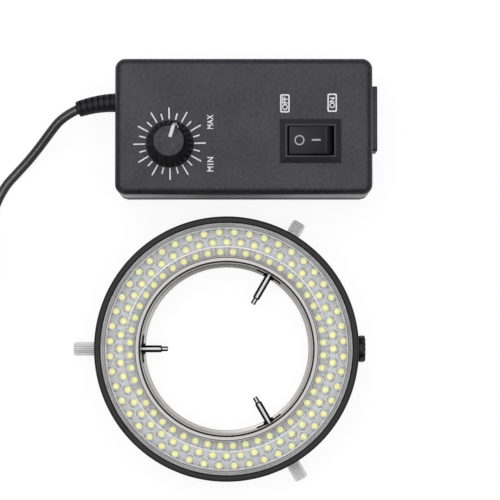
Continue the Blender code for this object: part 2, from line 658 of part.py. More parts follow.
def make_mounting_collar():
    groove = BORE_RADIUS + LIP_GROOVE_WIDTH
    profile = [
        (COLLAR_RADIUS, COLLAR_HEIGHT),
        (COLLAR_RADIUS, COVER_SEAT_HEIGHT),
        (COVER_SEAT_RADIUS, COVER_SEAT_HEIGHT),
        (COVER_SEAT_RADIUS, BOARD_HEIGHT - COVER_SEAT_WIDTH),
        (COLLAR_RADIUS, BOARD_HEIGHT - 2 * COVER_SEAT_WIDTH),
        (COLLAR_RADIUS, FLANGE_TOP),
        (FLANGE_RADIUS, FLANGE_TOP),
        (FLANGE_RADIUS, FLANGE_BOTTOM),
        (COLLAR_RADIUS, FLANGE_BOTTOM),
        (COLLAR_RADIUS, 0),
        (BORE_RADIUS - SHOULDER_STEP, 0),
        (BORE_RADIUS - SHOULDER_STEP, SHOULDER_HEIGHT),
        (BORE_RADIUS, SHOULDER_HEIGHT + SHOULDER_STEP / 2),
        (BORE_RADIUS, COLLAR_HEIGHT - LIP_GROOVE_DEPTH),
        (groove, COLLAR_HEIGHT - LIP_GROOVE_DEPTH),
        (groove, COLLAR_HEIGHT),
    ]
    collar = turned("mounting_collar", profile, ALUMINIUM, (0, 0, 0), WIDE_STEPS, True, parent=RING)
    inner = BORE_RADIUS - CUT_OVERRUN
    for side, angle in zip(THUMB_SCREW_NAMES, THUMB_SCREW_ANGLES):
        hole = rod_mesh("thread_hole_" + side, THREAD_HOLE_RADIUS, COLLAR_WALL + 2 * CUT_OVERRUN)
        start = round_spot((0, 0), inner, angle, THUMB_SCREW_HEIGHT)
        cut(collar, cutter(hole.name, hole, start, (0, math.pi / 2, math.radians(angle)), RING))
    for number, angle in enumerate(COLLAR_SCREW_ANGLES, 1):
        spot = round_spot((0, 0), COLLAR_SCREW_CIRCLE, angle, FLOOR_THICKNESS)
        hole = rod_mesh("flange_hole_%d" % number, COLLAR_SCREW_RADIUS + SEAT_GAP, FLANGE_TOP, TINY_STEPS)
        cut(collar, cutter(hole.name, hole, spot, parent=RING))


def make_collar_screws():
    for number, angle in enumerate(COLLAR_SCREW_ANGLES, 1):
        spot = round_spot((0, 0), COLLAR_SCREW_CIRCLE, angle, 0)
        countersunk_screw("collar_screw_%d" % number, spot, COLLAR_SCREW_RADIUS, COLLAR_SCREW_HEAD_RADIUS,
                          COLLAR_SCREW_HEAD_DEPTH, FLANGE_TOP - SEAT_GAP, RING)


def annulus(name, inner, outer, bottom, top, material, steps=WIDE_STEPS):
    profile = [(outer, top), (outer, bottom), (inner, bottom), (inner, top)]
    return turned(name, profile, material, (0, 0, 0), steps, True, parent=RING)


def make_led_board():
    annulus("led_board", BOARD_INNER_RADIUS, BOARD_OUTER_RADIUS, BOARD_HEIGHT, BOARD_TOP, WHITE_BOARD)


def make_clear_cover():
    annulus("clear_cover", COLLAR_RADIUS + SEAT_GAP, RIM_INNER_RADIUS - SEAT_GAP, COVER_BOTTOM, COVER_TOP,
            CLEAR_PLATE)


def led_bodies(name, top_radius, turn_share):
    """One circle of LEDs as a mesh of separate tapered rods, each leaning to the ring's axis."""
    lean = math.radians(LED_TILT)
    base_radius = top_radius + LED_LENGTH * math.tan(lean)
    shape = bmesh.new()
    for number in range(LED_COUNT):
        rod = bmesh.ops.create_cone(shape, cap_ends=True, segments=LED_SIDES, radius1=LED_RADIUS,
                                    radius2=LED_TOP_RADIUS, depth=LED_LENGTH)["verts"]
        bmesh.ops.translate(shape, vec=(0, 0, LED_LENGTH / 2), verts=rod)
        bmesh.ops.rotate(shape, cent=(0, 0, 0), verts=rod, matrix=Matrix.Rotation(-lean, 3, "Y"))
        bmesh.ops.translate(shape, vec=(base_radius, 0, LED_BASE + JOIN_OVERLAP), verts=rod)
        turn = 2 * math.pi * (number + turn_share) / LED_COUNT
        bmesh.ops.rotate(shape, cent=(0, 0, 0), verts=rod, matrix=Matrix.Rotation(turn, 3, "Z"))
    return cutter(name, mesh_from(name, shape), (0, 0, 0), parent=RING), base_radius


def make_led_circles():
    for name, radius, turn_share in zip(LED_CIRCLE_NAMES, LED_TOP_CIRCLE_RADII, LED_TURN_SHARES):
        bodies, base_radius = led_bodies("led_bodies_" + name, radius, turn_share)
        strip = annulus("led_circle_" + name, base_radius - LED_STRIP_WIDTH / 2, base_radius + LED_STRIP_WIDTH / 2,
                        LED_BASE, LED_BASE + LED_STRIP_THICKNESS, CLEAR_LED, LED_STRIP_STEPS)
        join(strip, bodies)


def knurled_head_mesh(name):
    """A straight-knurled head along Z from its inner end, with chamfered ends."""
    shape = bmesh.new()
    sides = 2 * HEAD_TEETH
    bmesh.ops.create_cone(shape, cap_ends=True, segments=sides, radius1=HEAD_RADIUS, radius2=HEAD_RADIUS,
                          depth=HEAD_LENGTH)
    bmesh.ops.translate(shape, vec=(0, 0, HEAD_LENGTH / 2), verts=shape.verts)
    rims = [e for e in shape.edges if abs(e.verts[0].co.z - e.verts[1].co.z) < MERGE_DISTANCE]
    bmesh.ops.bevel(shape, geom=rims, offset=HEAD_CHAMFER, segments=1, affect="EDGES")
    for vert in shape.verts:
        inside = MERGE_DISTANCE < vert.co.z < HEAD_LENGTH - MERGE_DISTANCE
        step = round(math.atan2(vert.co.y, vert.co.x) / (2 * math.pi) * sides)
        if inside and step % 2:
            ratio = 1 - KNURL_DEPTH / HEAD_RADIUS
            vert.co.x *= ratio
            vert.co.y *= ratio
    return mesh_from(name, shape)


def make_thumb_screws():
    inner_end = THUMB_SCREW_LENGTH - HEAD_LENGTH
    shank_end = inner_end + HEAD_BORE_DEPTH - SEAT_GAP
    profile = [
        (0, shank_end),
        (SHANK_RADIUS, shank_end),
        (SHANK_RADIUS, DOG_LENGTH + DOG_CHAMFER),
        (DOG_RADIUS, DOG_LENGTH),
        (DOG_RADIUS, DOG_CHAMFER / 2),
        (DOG_RADIUS - DOG_CHAMFER / 2, 0),
        (0, 0),
    ]
    for side, angle, reach in zip(THUMB_SCREW_NAMES, THUMB_SCREW_ANGLES, THUMB_SCREW_REACHES):
        turn = (0, math.pi / 2, math.radians(angle))
        tip = round_spot((0, 0), reach - THUMB_SCREW_LENGTH, angle, THUMB_SCREW_HEIGHT)
        axis = pivot("thumb_screw_axis_" + side, tip, RING)
        axis.rotation_euler = turn
        turned("thumb_screw_shank_" + side, profile, STEEL, (0, 0, 0), SMALL_STEPS, False, parent=axis)
        name = "thumb_screw_head_" + side
        head = place(name, knurled_head_mesh(name), ALUMINIUM, (0, 0, inner_end), parent=axis)
        bore = rod_mesh("head_bore_" + side, THREAD_HOLE_RADIUS, HEAD_BORE_DEPTH + CUT_OVERRUN, TINY_STEPS)
        cut(head, cutter(bore.name, bore, (0, 0, inner_end - CUT_OVERRUN), parent=axis))


def make_ring_jack():
    flange_face = RING_OUTER_RADIUS + SEAT_GAP
    neck_end = JACK_BODY_FACE + SEAT_GAP
    fillet = arc((JACK_FLANGE_RADIUS - JACK_FILLET, JACK_FACE - JACK_FILLET), JACK_FILLET, 90, 0, FILLET_POINTS)
    profile = fillet + [
        (JACK_FLANGE_RADIUS, flange_face),
        (JACK_NECK_RADIUS, flange_face),
        (JACK_NECK_RADIUS, neck_end),
        (JACK_BORE_RADIUS, neck_end),
        (JACK_BORE_RADIUS, JACK_FACE),
    ]
    along_x("ring_jack_bushing", profile, BLACK_PLASTIC, (0, 0, JACK_HEIGHT), SMALL_STEPS, True, RING)
    base = JACK_HEIGHT - JACK_BODY_HEIGHT / 2
    mesh = box_mesh("ring_jack_body", (JACK_BODY_LENGTH, JACK_BODY_WIDTH, JACK_BODY_HEIGHT),
                    top_edge=JACK_BODY_CHAMFER, segments=1)
    body = place("ring_jack_body", mesh, SOFT_PLASTIC, (JACK_BODY_FACE - JACK_BODY_LENGTH / 2, 0, base), parent=RING)
    pin_start = JACK_BODY_FACE - JACK_PIN_ROOT
    socket = rod_mesh("jack_pin_socket", JACK_PIN_RADIUS + SEAT_GAP, JACK_PIN_ROOT + CUT_OVERRUN, TINY_STEPS)
    cut(body, cutter("jack_pin_socket", socket, (pin_start - SEAT_GAP, 0, JACK_HEIGHT), (0, math.pi / 2, 0), RING))
    pin = rod_mesh("ring_jack_pin", JACK_PIN_RADIUS, JACK_FACE - JACK_PIN_RECESS - pin_start, TINY_STEPS)
    place("ring_jack_pin", pin, NICKEL, (pin_start, 0, JACK_HEIGHT), (0, math.pi / 2, 0), parent=RING)


def make_board_wires():
    start_x = JACK_BODY_FACE - JACK_BODY_LENGTH / 2
    side = JACK_BODY_WIDTH / 2 + SEAT_GAP
    top = BOARD_HEIGHT - SEAT_GAP
    near, far = [side + BOARD_WIRE_REACH * share for share in BOARD_WIRE_SHARES]
    end = side + BOARD_WIRE_REACH
    for name, hand, sleeve in (("positive", 1, RED_SLEEVE), ("negative", -1, BLACK_SLEEVE)):
        route = [
            (start_x, hand * side, JACK_HEIGHT),
            (start_x, hand * near, JACK_HEIGHT),
            (start_x - BOARD_WIRE_RADIUS, hand * far, JACK_HEIGHT + BOARD_WIRE_RADIUS),
            (start_x - 2 * BOARD_WIRE_RADIUS, hand * end, top - 2 * BOARD_WIRE_RADIUS),
            (start_x - 2 * BOARD_WIRE_RADIUS, hand * end, top),
        ]
        tube("board_wire_" + name, smooth_route(route, 3 * BOARD_WIRE_RADIUS), BOARD_WIRE_RADIUS, sleeve,
             THIN_RESOLUTION, parent=RING)


def boss_spots():
    reach_x = BOX_LENGTH / 2 - BOSS_INSET
    reach_y = BOX_WIDTH / 2 - BOSS_INSET
    return [(reach_x, reach_y), (-reach_x, reach_y), (-reach_x, -reach_y), (reach_x, -reach_y)]


def make_case_front():
    """A deep shell open at the table side, with four screw bosses and four panel openings."""
    height = BOX_HEIGHT - SHELL_BOTTOM
    mesh = box_mesh("case_front", (BOX_LENGTH, BOX_WIDTH, height), BOX_CORNER_RADIUS, BOX_TOP_FILLET)
    shape = bmesh.new()
    shape.from_mesh(mesh)
    bmesh.ops.delete(shape, geom=[f for f in shape.faces if f.calc_center_median().z < MERGE_DISTANCE],
                     context="FACES")
    shape.to_mesh(mesh)
    shape.free()
    case = place("case_front", mesh, CASE_PLASTIC, (0, 0, SHELL_BOTTOM), parent=BOX)
    wall = case.modifiers.new("wall", "SOLIDIFY")
    wall.thickness = BOX_WALL
    wall.offset = -1
    wall.use_even_offset = True
    boss_height = PANEL_UNDERSIDE - SHELL_BOTTOM + JOIN_OVERLAP
    for number, (x, y) in enumerate(boss_spots(), 1):
        boss = rod_mesh("case_boss_%d" % number, BOSS_RADIUS, boss_height, SMALL_STEPS)
        join(case, cutter(boss.name, boss, (x, y, SHELL_BOTTOM), parent=BOX))
    for number, (x, y) in enumerate(boss_spots(), 1):
        pilot = rod_mesh("case_pilot_%d" % number, CASE_SCREW_RADIUS + SEAT_GAP,
                         CASE_SCREW_LENGTH + 2 * CUT_OVERRUN, TINY_STEPS)
        cut(case, cutter(pilot.name, pilot, (x, y, 0), parent=BOX))
    cut_panel(case)


def cut_panel(case):
    through = BOX_WALL + 2 * CUT_OVERRUN
    below = PANEL_UNDERSIDE - CUT_OVERRUN
    knob = rod_mesh("bushing_hole", BUSHING_RADIUS + PANEL_HOLE_CLEARANCE, through)
    cut(case, cutter("bushing_hole", knob, (KNOB_X, KNOB_Y, below), parent=BOX))
    size = (SWITCH_BODY_LENGTH + 2 * SEAT_GAP, SWITCH_BODY_WIDTH + 2 * SEAT_GAP, through)
    cut(case, cutter("switch_hole", box_mesh("switch_hole", size), (SWITCH_X, SWITCH_Y, below), parent=BOX))
    inlet = box_mesh("inlet_hole", (INLET_BODY_HEIGHT + 2 * SEAT_GAP, INLET_BODY_WIDTH + 2 * SEAT_GAP, through),
                     INLET_BODY_CORNER)
    start = BOX_LENGTH / 2 - BOX_WALL - CUT_OVERRUN
    cut(case, cutter("inlet_hole", inlet, (start, INLET_Y, INLET_HEIGHT), (0, math.pi / 2, 0), BOX))
    relief = rod_mesh("relief_hole", RELIEF_HOLE_RADIUS, through)
    cut(case, cutter("relief_hole", relief, (-start, RELIEF_Y, RELIEF_HEIGHT), (0, -math.pi / 2, 0), BOX))


def post_spots():
    reach_x = DRIVER_BOARD_LENGTH / 2 - POST_INSET
    reach_y = DRIVER_BOARD_WIDTH / 2 - POST_INSET
    return [(DRIVER_BOARD_X + side_x * reach_x, side_y * reach_y) for side_x in (-1, 1) for side_y in (-1, 1)]


def make_case_back():
    mesh = box_mesh("case_back", (BOX_LENGTH, BOX_WIDTH, BACK_THICKNESS), BOX_CORNER_RADIUS,
                    bottom_edge=BACK_CHAMFER, segments=1)
    back = place("case_back", mesh, CASE_PLASTIC, (0, 0, 0), parent=BOX)
    post_height = DRIVER_BOARD_HEIGHT - SEAT_GAP - BACK_THICKNESS + JOIN_OVERLAP
    pin_height = SEAT_GAP + DRIVER_BOARD_THICKNESS + POST_PIN_HEIGHT
    for number, (x, y) in enumerate(post_spots(), 1):
        profile = [(0, post_height + pin_height), (POST_PIN_RADIUS, post_height + pin_height),
                   (POST_PIN_RADIUS, post_height), (POST_RADIUS, post_height), (POST_RADIUS, 0), (0, 0)]
        join(back, turned("board_post_%d" % number, profile, None, (x, y, BACK_THICKNESS - JOIN_OVERLAP),
                          TINY_STEPS, False, collection=CUTTERS, parent=BOX))
    for number, (x, y) in enumerate(boss_spots(), 1):
        cut(back, screw_hole("back_hole_%d" % number, (x, y, 0), CASE_SCREW_RADIUS, CASE_SCREW_HEAD_RADIUS,
                             CASE_SCREW_HEAD_DEPTH, BACK_THICKNESS + CUT_OVERRUN, BOX))


def make_case_screws():
    for number, (x, y) in enumerate(boss_spots(), 1):
        countersunk_screw("case_screw_%d" % number, (x, y, 0), CASE_SCREW_RADIUS, CASE_SCREW_HEAD_RADIUS,
                          CASE_SCREW_HEAD_DEPTH, CASE_SCREW_LENGTH, BOX)


def make_knob():
    """A finely ribbed cone with a flat top, hollow below for the nut, and a groove for its pointer."""
    axis = pivot("knob_axis", (KNOB_X, KNOB_Y, KNOB_BOTTOM), BOX)
    axis.rotation_euler = (0, 0, math.radians(POINTER_ANGLE))
    shape = bmesh.new()
    sides = 2 * KNOB_RIBS
    bmesh.ops.create_cone(shape, cap_ends=True, segments=sides, radius1=KNOB_BASE_RADIUS,
                          radius2=KNOB_TOP_RADIUS, depth=KNOB_HEIGHT - KNOB_SKIRT_HEIGHT)
    lift = (KNOB_HEIGHT + KNOB_SKIRT_HEIGHT) / 2
    bmesh.ops.translate(shape, vec=(0, 0, lift), verts=shape.verts)
    bottom = next(f for f in shape.faces if all(v.co.z < lift for v in f.verts) and len(f.verts) == sides)
    skirt = bmesh.ops.extrude_discrete_faces(shape, faces=[bottom])["faces"][0]
    bmesh.ops.translate(shape, vec=(0, 0, -KNOB_SKIRT_HEIGHT), verts=skirt.verts)
    top = [e for e in shape.edges if all(v.co.z > KNOB_HEIGHT - MERGE_DISTANCE for v in e.verts)]
    bmesh.ops.bevel(shape, geom=top, offset=KNOB_TOP_FILLET, segments=KNOB_TOP_SEGMENTS, profile=0.5,
                    affect="EDGES")
    for vert in shape.verts:
        step = round(math.atan2(vert.co.y, vert.co.x) / (2 * math.pi) * sides)
        if step % 2 and vert.co.z < KNOB_HEIGHT - 2 * KNOB_TOP_FILLET:
            ratio = 1 - KNOB_RIB_DEPTH / KNOB_BASE_RADIUS
            vert.co.x *= ratio
            vert.co.y *= ratio
    knob = place("dimmer_knob", mesh_from("dimmer_knob", shape), KNOB_PLASTIC, (0, 0, 0), parent=axis)
    hollow = rod_mesh("knob_hollow", KNOB_HOLLOW_RADIUS, KNOB_HOLLOW_DEPTH + CUT_OVERRUN)
    shaft = rod_mesh("knob_bore", SHAFT_RADIUS + SEAT_GAP, KNOB_HOLLOW_DEPTH + SHAFT_GRIP + SEAT_GAP)
    groove = box_mesh("pointer_groove", (KNOB_TOP_RADIUS, POINTER_WIDTH, POINTER_DEPTH + CUT_OVERRUN))
    groove_spot = (KNOB_TOP_RADIUS * POINTER_PLACE_SHARE, 0, KNOB_HEIGHT - POINTER_DEPTH)
    cut(knob, cutter("knob_hollow", hollow, (0, 0, -CUT_OVERRUN), parent=axis),
        cutter("knob_bore", shaft, (0, 0, 0), parent=axis),
        cutter("pointer_groove", groove, groove_spot, parent=axis))


def make_potentiometer():
    bore = SHAFT_NECK_RADIUS + BUSHING_BORE_CLEARANCE
    body_top = PANEL_UNDERSIDE - SEAT_GAP
    body_bottom = body_top - POT_DEPTH
    bore_bottom = body_top - POT_DEPTH / 2
    bushing_top = BOX_HEIGHT + BUSHING_HEIGHT
    spot = (KNOB_X, KNOB_Y, 0)
    outline = [(0, bushing_top), (BUSHING_RADIUS, bushing_top), (BUSHING_RADIUS, body_top), (POT_RADIUS, body_top),
               (POT_RADIUS, body_bottom), (0, body_bottom)]
    body = turned("potentiometer_body", outline, STEEL, spot, SMALL_STEPS, False, parent=BOX)
    hole = rod_mesh("shaft_bore", bore, bushing_top - bore_bottom + CUT_OVERRUN)
    cut(body, cutter("shaft_bore", hole, (KNOB_X, KNOB_Y, bore_bottom), parent=BOX))
    neck_top = bushing_top + SEAT_GAP
    neck_bottom = bore_bottom + SEAT_GAP
    shaft_top = KNOB_BOTTOM + KNOB_HOLLOW_DEPTH + SHAFT_GRIP - SEAT_GAP
    shaft = [(0, shaft_top), (SHAFT_RADIUS, shaft_top), (SHAFT_RADIUS, neck_top), (SHAFT_NECK_RADIUS, neck_top),
             (SHAFT_NECK_RADIUS, neck_bottom), (0, neck_bottom)]
    turned("potentiometer_shaft", shaft, NICKEL, spot, SMALL_STEPS, False, parent=BOX)
    washer_bottom = BOX_HEIGHT + SEAT_GAP
    washer_top = washer_bottom + WASHER_THICKNESS
    inner = BUSHING_RADIUS + SEAT_GAP
    turned("potentiometer_washer", [(WASHER_RADIUS, washer_top), (WASHER_RADIUS, washer_bottom),
                                    (inner, washer_bottom), (inner, washer_top)],
           NICKEL, spot, SMALL_STEPS, True, parent=BOX)
    nut_mesh = rod_mesh("potentiometer_nut", NUT_ACROSS_FLATS / 2 / math.cos(math.pi / 6), NUT_THICKNESS, 6)
    nut = place("potentiometer_nut", nut_mesh, NICKEL, (KNOB_X, KNOB_Y, washer_top + SEAT_GAP), parent=BOX)
    thread = rod_mesh("nut_thread", inner, NUT_THICKNESS + 2 * CUT_OVERRUN)
    cut(nut, cutter("nut_thread", thread, (KNOB_X, KNOB_Y, washer_top - CUT_OVERRUN), parent=BOX))


def make_switch_housing():
    """A bezel with a box below it, hollow from the top, with trunnion holes and two terminal slots."""
    spot = Vector((SWITCH_X, SWITCH_Y, 0))
    bezel_bottom = BOX_HEIGHT + SEAT_GAP
    bezel_top = bezel_bottom + BEZEL_THICKNESS
    bezel = box_mesh("rocker_housing", (BEZEL_LENGTH, BEZEL_WIDTH, BEZEL_THICKNESS), top_edge=BEZEL_CHAMFER)
    housing = place("rocker_housing", bezel, BLACK_PLASTIC, spot + Vector((0, 0, bezel_bottom)), parent=BOX)
    body = box_mesh("switch_body", (SWITCH_BODY_LENGTH, SWITCH_BODY_WIDTH,
                                    bezel_bottom + JOIN_OVERLAP - SWITCH_BOTTOM))
    join(housing, cutter("switch_body", body, spot + Vector((0, 0, SWITCH_BOTTOM)), parent=BOX))
    well_bottom = SWITCH_BOTTOM + SWITCH_FLOOR
    well = box_mesh("rocker_well", (ROCKER_WELL_LENGTH, ROCKER_WELL_WIDTH, bezel_top + CUT_OVERRUN - well_bottom))
    cut(housing, cutter("rocker_well", well, spot + Vector((0, 0, well_bottom)), parent=BOX))
    hole_length = SWITCH_BODY_WIDTH + 2 * CUT_OVERRUN
    hole = rod_mesh("trunnion_holes", TRUNNION_RADIUS + SEAT_GAP, hole_length, TINY_STEPS)
    cut(housing, cutter("trunnion_holes", hole, spot + Vector((0, hole_length / 2, PIVOT_HEIGHT)),
                        (math.pi / 2, 0, 0), BOX))
    slot_size = (TERMINAL_THICKNESS + 2 * SEAT_GAP, TERMINAL_WIDTH + 2 * SEAT_GAP,
                 TERMINAL_SEAT + SEAT_GAP + CUT_OVERRUN)
    for name, side in (("line", -1), ("load", 1)):
        offset = Vector((side * TERMINAL_SPACING / 2, 0, SWITCH_BOTTOM - CUT_OVERRUN))
        cut(housing, cutter("terminal_slot_" + name, box_mesh("terminal_slot_" + name, slot_size), spot + offset,
                            parent=BOX))


def rocker_outline():
    """Half-turn symmetric side view of the paddle, as x and z from its pivot."""
    corner = ROCKER_CORNER_ANGLE
    edge_x = ROCKER_RADIUS * math.cos(math.radians(corner))
    edge_z = ROCKER_RADIUS * math.sin(math.radians(corner))
    right = arc((0, 0), ROCKER_RADIUS, -ROCKER_SKIRT_ANGLE, corner, ROCKER_END_POINTS)
    dish = [(edge_x * share, edge_z - ROCKER_DISH * (1 - share ** 2)) for share in ROCKER_DISH_SHARES]
    left = [(-x, z) for x, z in reversed(right)]
    foot = [(-ROCKER_FOOT_HALF, -ROCKER_FOOT_DEPTH), (ROCKER_FOOT_HALF, -ROCKER_FOOT_DEPTH)]
    return right + dish + left + foot


def make_rocker_paddle():
    width = ROCKER_WELL_WIDTH - 2 * ROCKER_SIDE_GAP
    axis = pivot("rocker_axis", (SWITCH_X, SWITCH_Y, PIVOT_HEIGHT), BOX)
    axis.rotation_euler = (0, -math.radians(ROCKER_TILT), 0)
    shape = bmesh.new()
    side = shape.faces.new([shape.verts.new((x, -width / 2, z)) for x, z in rocker_outline()])
    grown = bmesh.ops.extrude_face_region(shape, geom=[side])["geom"]
    bmesh.ops.translate(shape, vec=(0, width, 0), verts=[v for v in grown if isinstance(v, bmesh.types.BMVert)])
    paddle = place("rocker_paddle", mesh_from("rocker_paddle", shape), BLACK_PLASTIC, (0, 0, 0), parent=axis)
    length = width + 2 * TRUNNION_LENGTH
    trunnion = rod_mesh("trunnions", TRUNNION_RADIUS, length, TINY_STEPS)
    join(paddle, cutter("trunnions", trunnion, (0, length / 2, 0), (math.pi / 2, 0, 0), axis))


def make_switch_terminals():
    for name, side in (("line", -1), ("load", 1)):
        mesh = box_mesh("switch_terminal_" + name, (TERMINAL_THICKNESS, TERMINAL_WIDTH, TERMINAL_LENGTH))
        spot = (SWITCH_X + side * TERMINAL_SPACING / 2, SWITCH_Y, SWITCH_BOTTOM + TERMINAL_SEAT - TERMINAL_LENGTH)
        place(mesh.name, mesh, BRASS, spot, parent=BOX)


def make_inlet():
    """A flange with a body behind it, a two-lobed cavity, and holes for its pins."""
    outside = BOX_LENGTH / 2 + SEAT_GAP
    turn = (0, math.pi / 2, 0)
    flange = box_mesh("inlet_housing", (INLET_FLANGE_HEIGHT, INLET_FLANGE_WIDTH, INLET_FLANGE_THICKNESS),
                      INLET_FLANGE_CORNER, top_edge=INLET_FLANGE_CHAMFER, segments=1)
    housing = place("inlet_housing", flange, BLACK_PLASTIC, (outside, INLET_Y, INLET_HEIGHT), turn, parent=BOX)
    body = box_mesh("inlet_body", (INLET_BODY_HEIGHT, INLET_BODY_WIDTH, outside - INLET_TAB_X + JOIN_OVERLAP),
                    INLET_BODY_CORNER)
    join(housing, cutter("inlet_body", body, (INLET_TAB_X, INLET_Y, INLET_HEIGHT), turn, BOX))
    face = outside + INLET_FLANGE_THICKNESS
    floor = face - INLET_CAVITY_DEPTH
    waist = box_mesh("inlet_waist", (2 * INLET_LOBE_RADIUS * INLET_WAIST_SHARE, INLET_PIN_SPACING,
                                     INLET_CAVITY_DEPTH + CUT_OVERRUN))
    cavity = cutter("inlet_waist", waist, (floor, INLET_Y, INLET_HEIGHT), turn, BOX)
    pin_length = face - INLET_PIN_RECESS - INLET_TAB_X + INLET_TAB_LENGTH
    for name, side in (("live", 1), ("neutral", -1)):
        y = INLET_Y + side * INLET_PIN_SPACING / 2
        lobe = rod_mesh("inlet_lobe_" + name, INLET_LOBE_RADIUS, INLET_CAVITY_DEPTH + CUT_OVERRUN)
        join(cavity, cutter(lobe.name, lobe, (floor, y, INLET_HEIGHT), turn, BOX))
        hole = rod_mesh("pin_hole_" + name, INLET_PIN_RADIUS + SEAT_GAP, floor - INLET_TAB_X + 2 * CUT_OVERRUN,
                        TINY_STEPS)
        cut(housing, cutter(hole.name, hole, (INLET_TAB_X - CUT_OVERRUN, y, INLET_HEIGHT), turn, BOX))
        pin = rod_mesh("inlet_pin_" + name, INLET_PIN_RADIUS, pin_length, TINY_STEPS)
        place(pin.name, pin, NICKEL, (INLET_TAB_X - INLET_TAB_LENGTH, y, INLET_HEIGHT), turn, parent=BOX)
    cut(housing, cavity)


def make_driver_board():
    mesh = box_mesh("driver_board", (DRIVER_BOARD_LENGTH, DRIVER_BOARD_WIDTH, DRIVER_BOARD_THICKNESS))
    board = place("driver_board", mesh, GREEN_BOARD, (DRIVER_BOARD_X, 0, DRIVER_BOARD_HEIGHT), parent=BOX)
    for number, (x, y) in enumerate(post_spots(), 1):
        hole = rod_mesh("board_hole_%d" % number, POST_PIN_RADIUS + SEAT_GAP,
                        DRIVER_BOARD_THICKNESS + 2 * CUT_OVERRUN, TINY_STEPS)
        cut(board, cutter(hole.name, hole, (x, y, DRIVER_BOARD_HEIGHT - CUT_OVERRUN), parent=BOX))


def make_transformer():
    """A squared core with a waist, round which the winding bulges."""
    core = box_mesh("transformer", (TRANSFORMER_LENGTH, TRANSFORMER_WIDTH, TRANSFORMER_HEIGHT))
    made = place("transformer", core, TRANSFORMER_TAPE, (TRANSFORMER_X, TRANSFORMER_Y, PARTS_BASE), parent=BOX)
    winding = box_mesh("transformer_winding", (TRANSFORMER_LENGTH - 2 * TRANSFORMER_WAIST,
                                               TRANSFORMER_WIDTH + 2 * TRANSFORMER_COIL_RISE,
                                               TRANSFORMER_HEIGHT + TRANSFORMER_COIL_RISE),
                       top_edge=TRANSFORMER_COIL_RISE)
    join(made, cutter("transformer_winding", winding, (TRANSFORMER_X, TRANSFORMER_Y, PARTS_BASE), parent=BOX))


def make_capacitor(name, x, y, radius, height):
    rim = arc((radius - CAPACITOR_FILLET, height - CAPACITOR_FILLET), CAPACITOR_FILLET, 90, 0, FILLET_POINTS)
    profile = [(0, height), *rim, (radius, CAPACITOR_FILLET), (radius - CAPACITOR_FILLET, 0), (0, 0)]
    turned(name, profile, CAPACITOR_SLEEVE, (x, y, PARTS_BASE), SMALL_STEPS, False, parent=BOX)


def make_choke():
    last = 90 - 360 * (CHOKE_SIDES - 1) / CHOKE_SIDES
    section = arc((CHOKE_RADIUS, CHOKE_WIRE_RADIUS), CHOKE_WIRE_RADIUS, 90, last, CHOKE_SIDES)
    turned("choke", section, COPPER, (CHOKE_X, CHOKE_Y, PARTS_BASE), SMALL_STEPS, True, parent=BOX)


def make_regulator():
    mesh = box_mesh("regulator", (REGULATOR_LENGTH, REGULATOR_WIDTH, REGULATOR_HEIGHT))
    made = place("regulator", mesh, SOFT_PLASTIC, (REGULATOR_X, REGULATOR_Y, PARTS_BASE), parent=BOX)
    tab = box_mesh("regulator_tab", (REGULATOR_LENGTH, REGULATOR_TAB_THICKNESS, REGULATOR_HEIGHT + REGULATOR_TAB_RISE))
    back = REGULATOR_Y - (REGULATOR_WIDTH - REGULATOR_TAB_THICKNESS) / 2
    join(made, cutter("regulator_tab", tab, (REGULATOR_X, back, PARTS_BASE), parent=BOX))


def make_fuse():
    half = FUSE_LENGTH / 2
    profile = [(0, half), (FUSE_RADIUS, half), (FUSE_RADIUS, half - FUSE_CAP_LENGTH),
               (FUSE_GLASS_RADIUS, half - FUSE_CAP_LENGTH), (FUSE_GLASS_RADIUS, FUSE_CAP_LENGTH - half),
               (FUSE_RADIUS, FUSE_CAP_LENGTH - half), (FUSE_RADIUS, -half), (0, -half)]
    along_x("fuse", profile, NICKEL, (FUSE_X, FUSE_Y, PARTS_BASE + FUSE_RADIUS), TINY_STEPS, False, BOX)


def inner_wire(name, route, sleeve):
    tube(name, smooth_route(route, 4 * WIRE_RADIUS), WIRE_RADIUS, sleeve, THIN_RESOLUTION, parent=BOX)


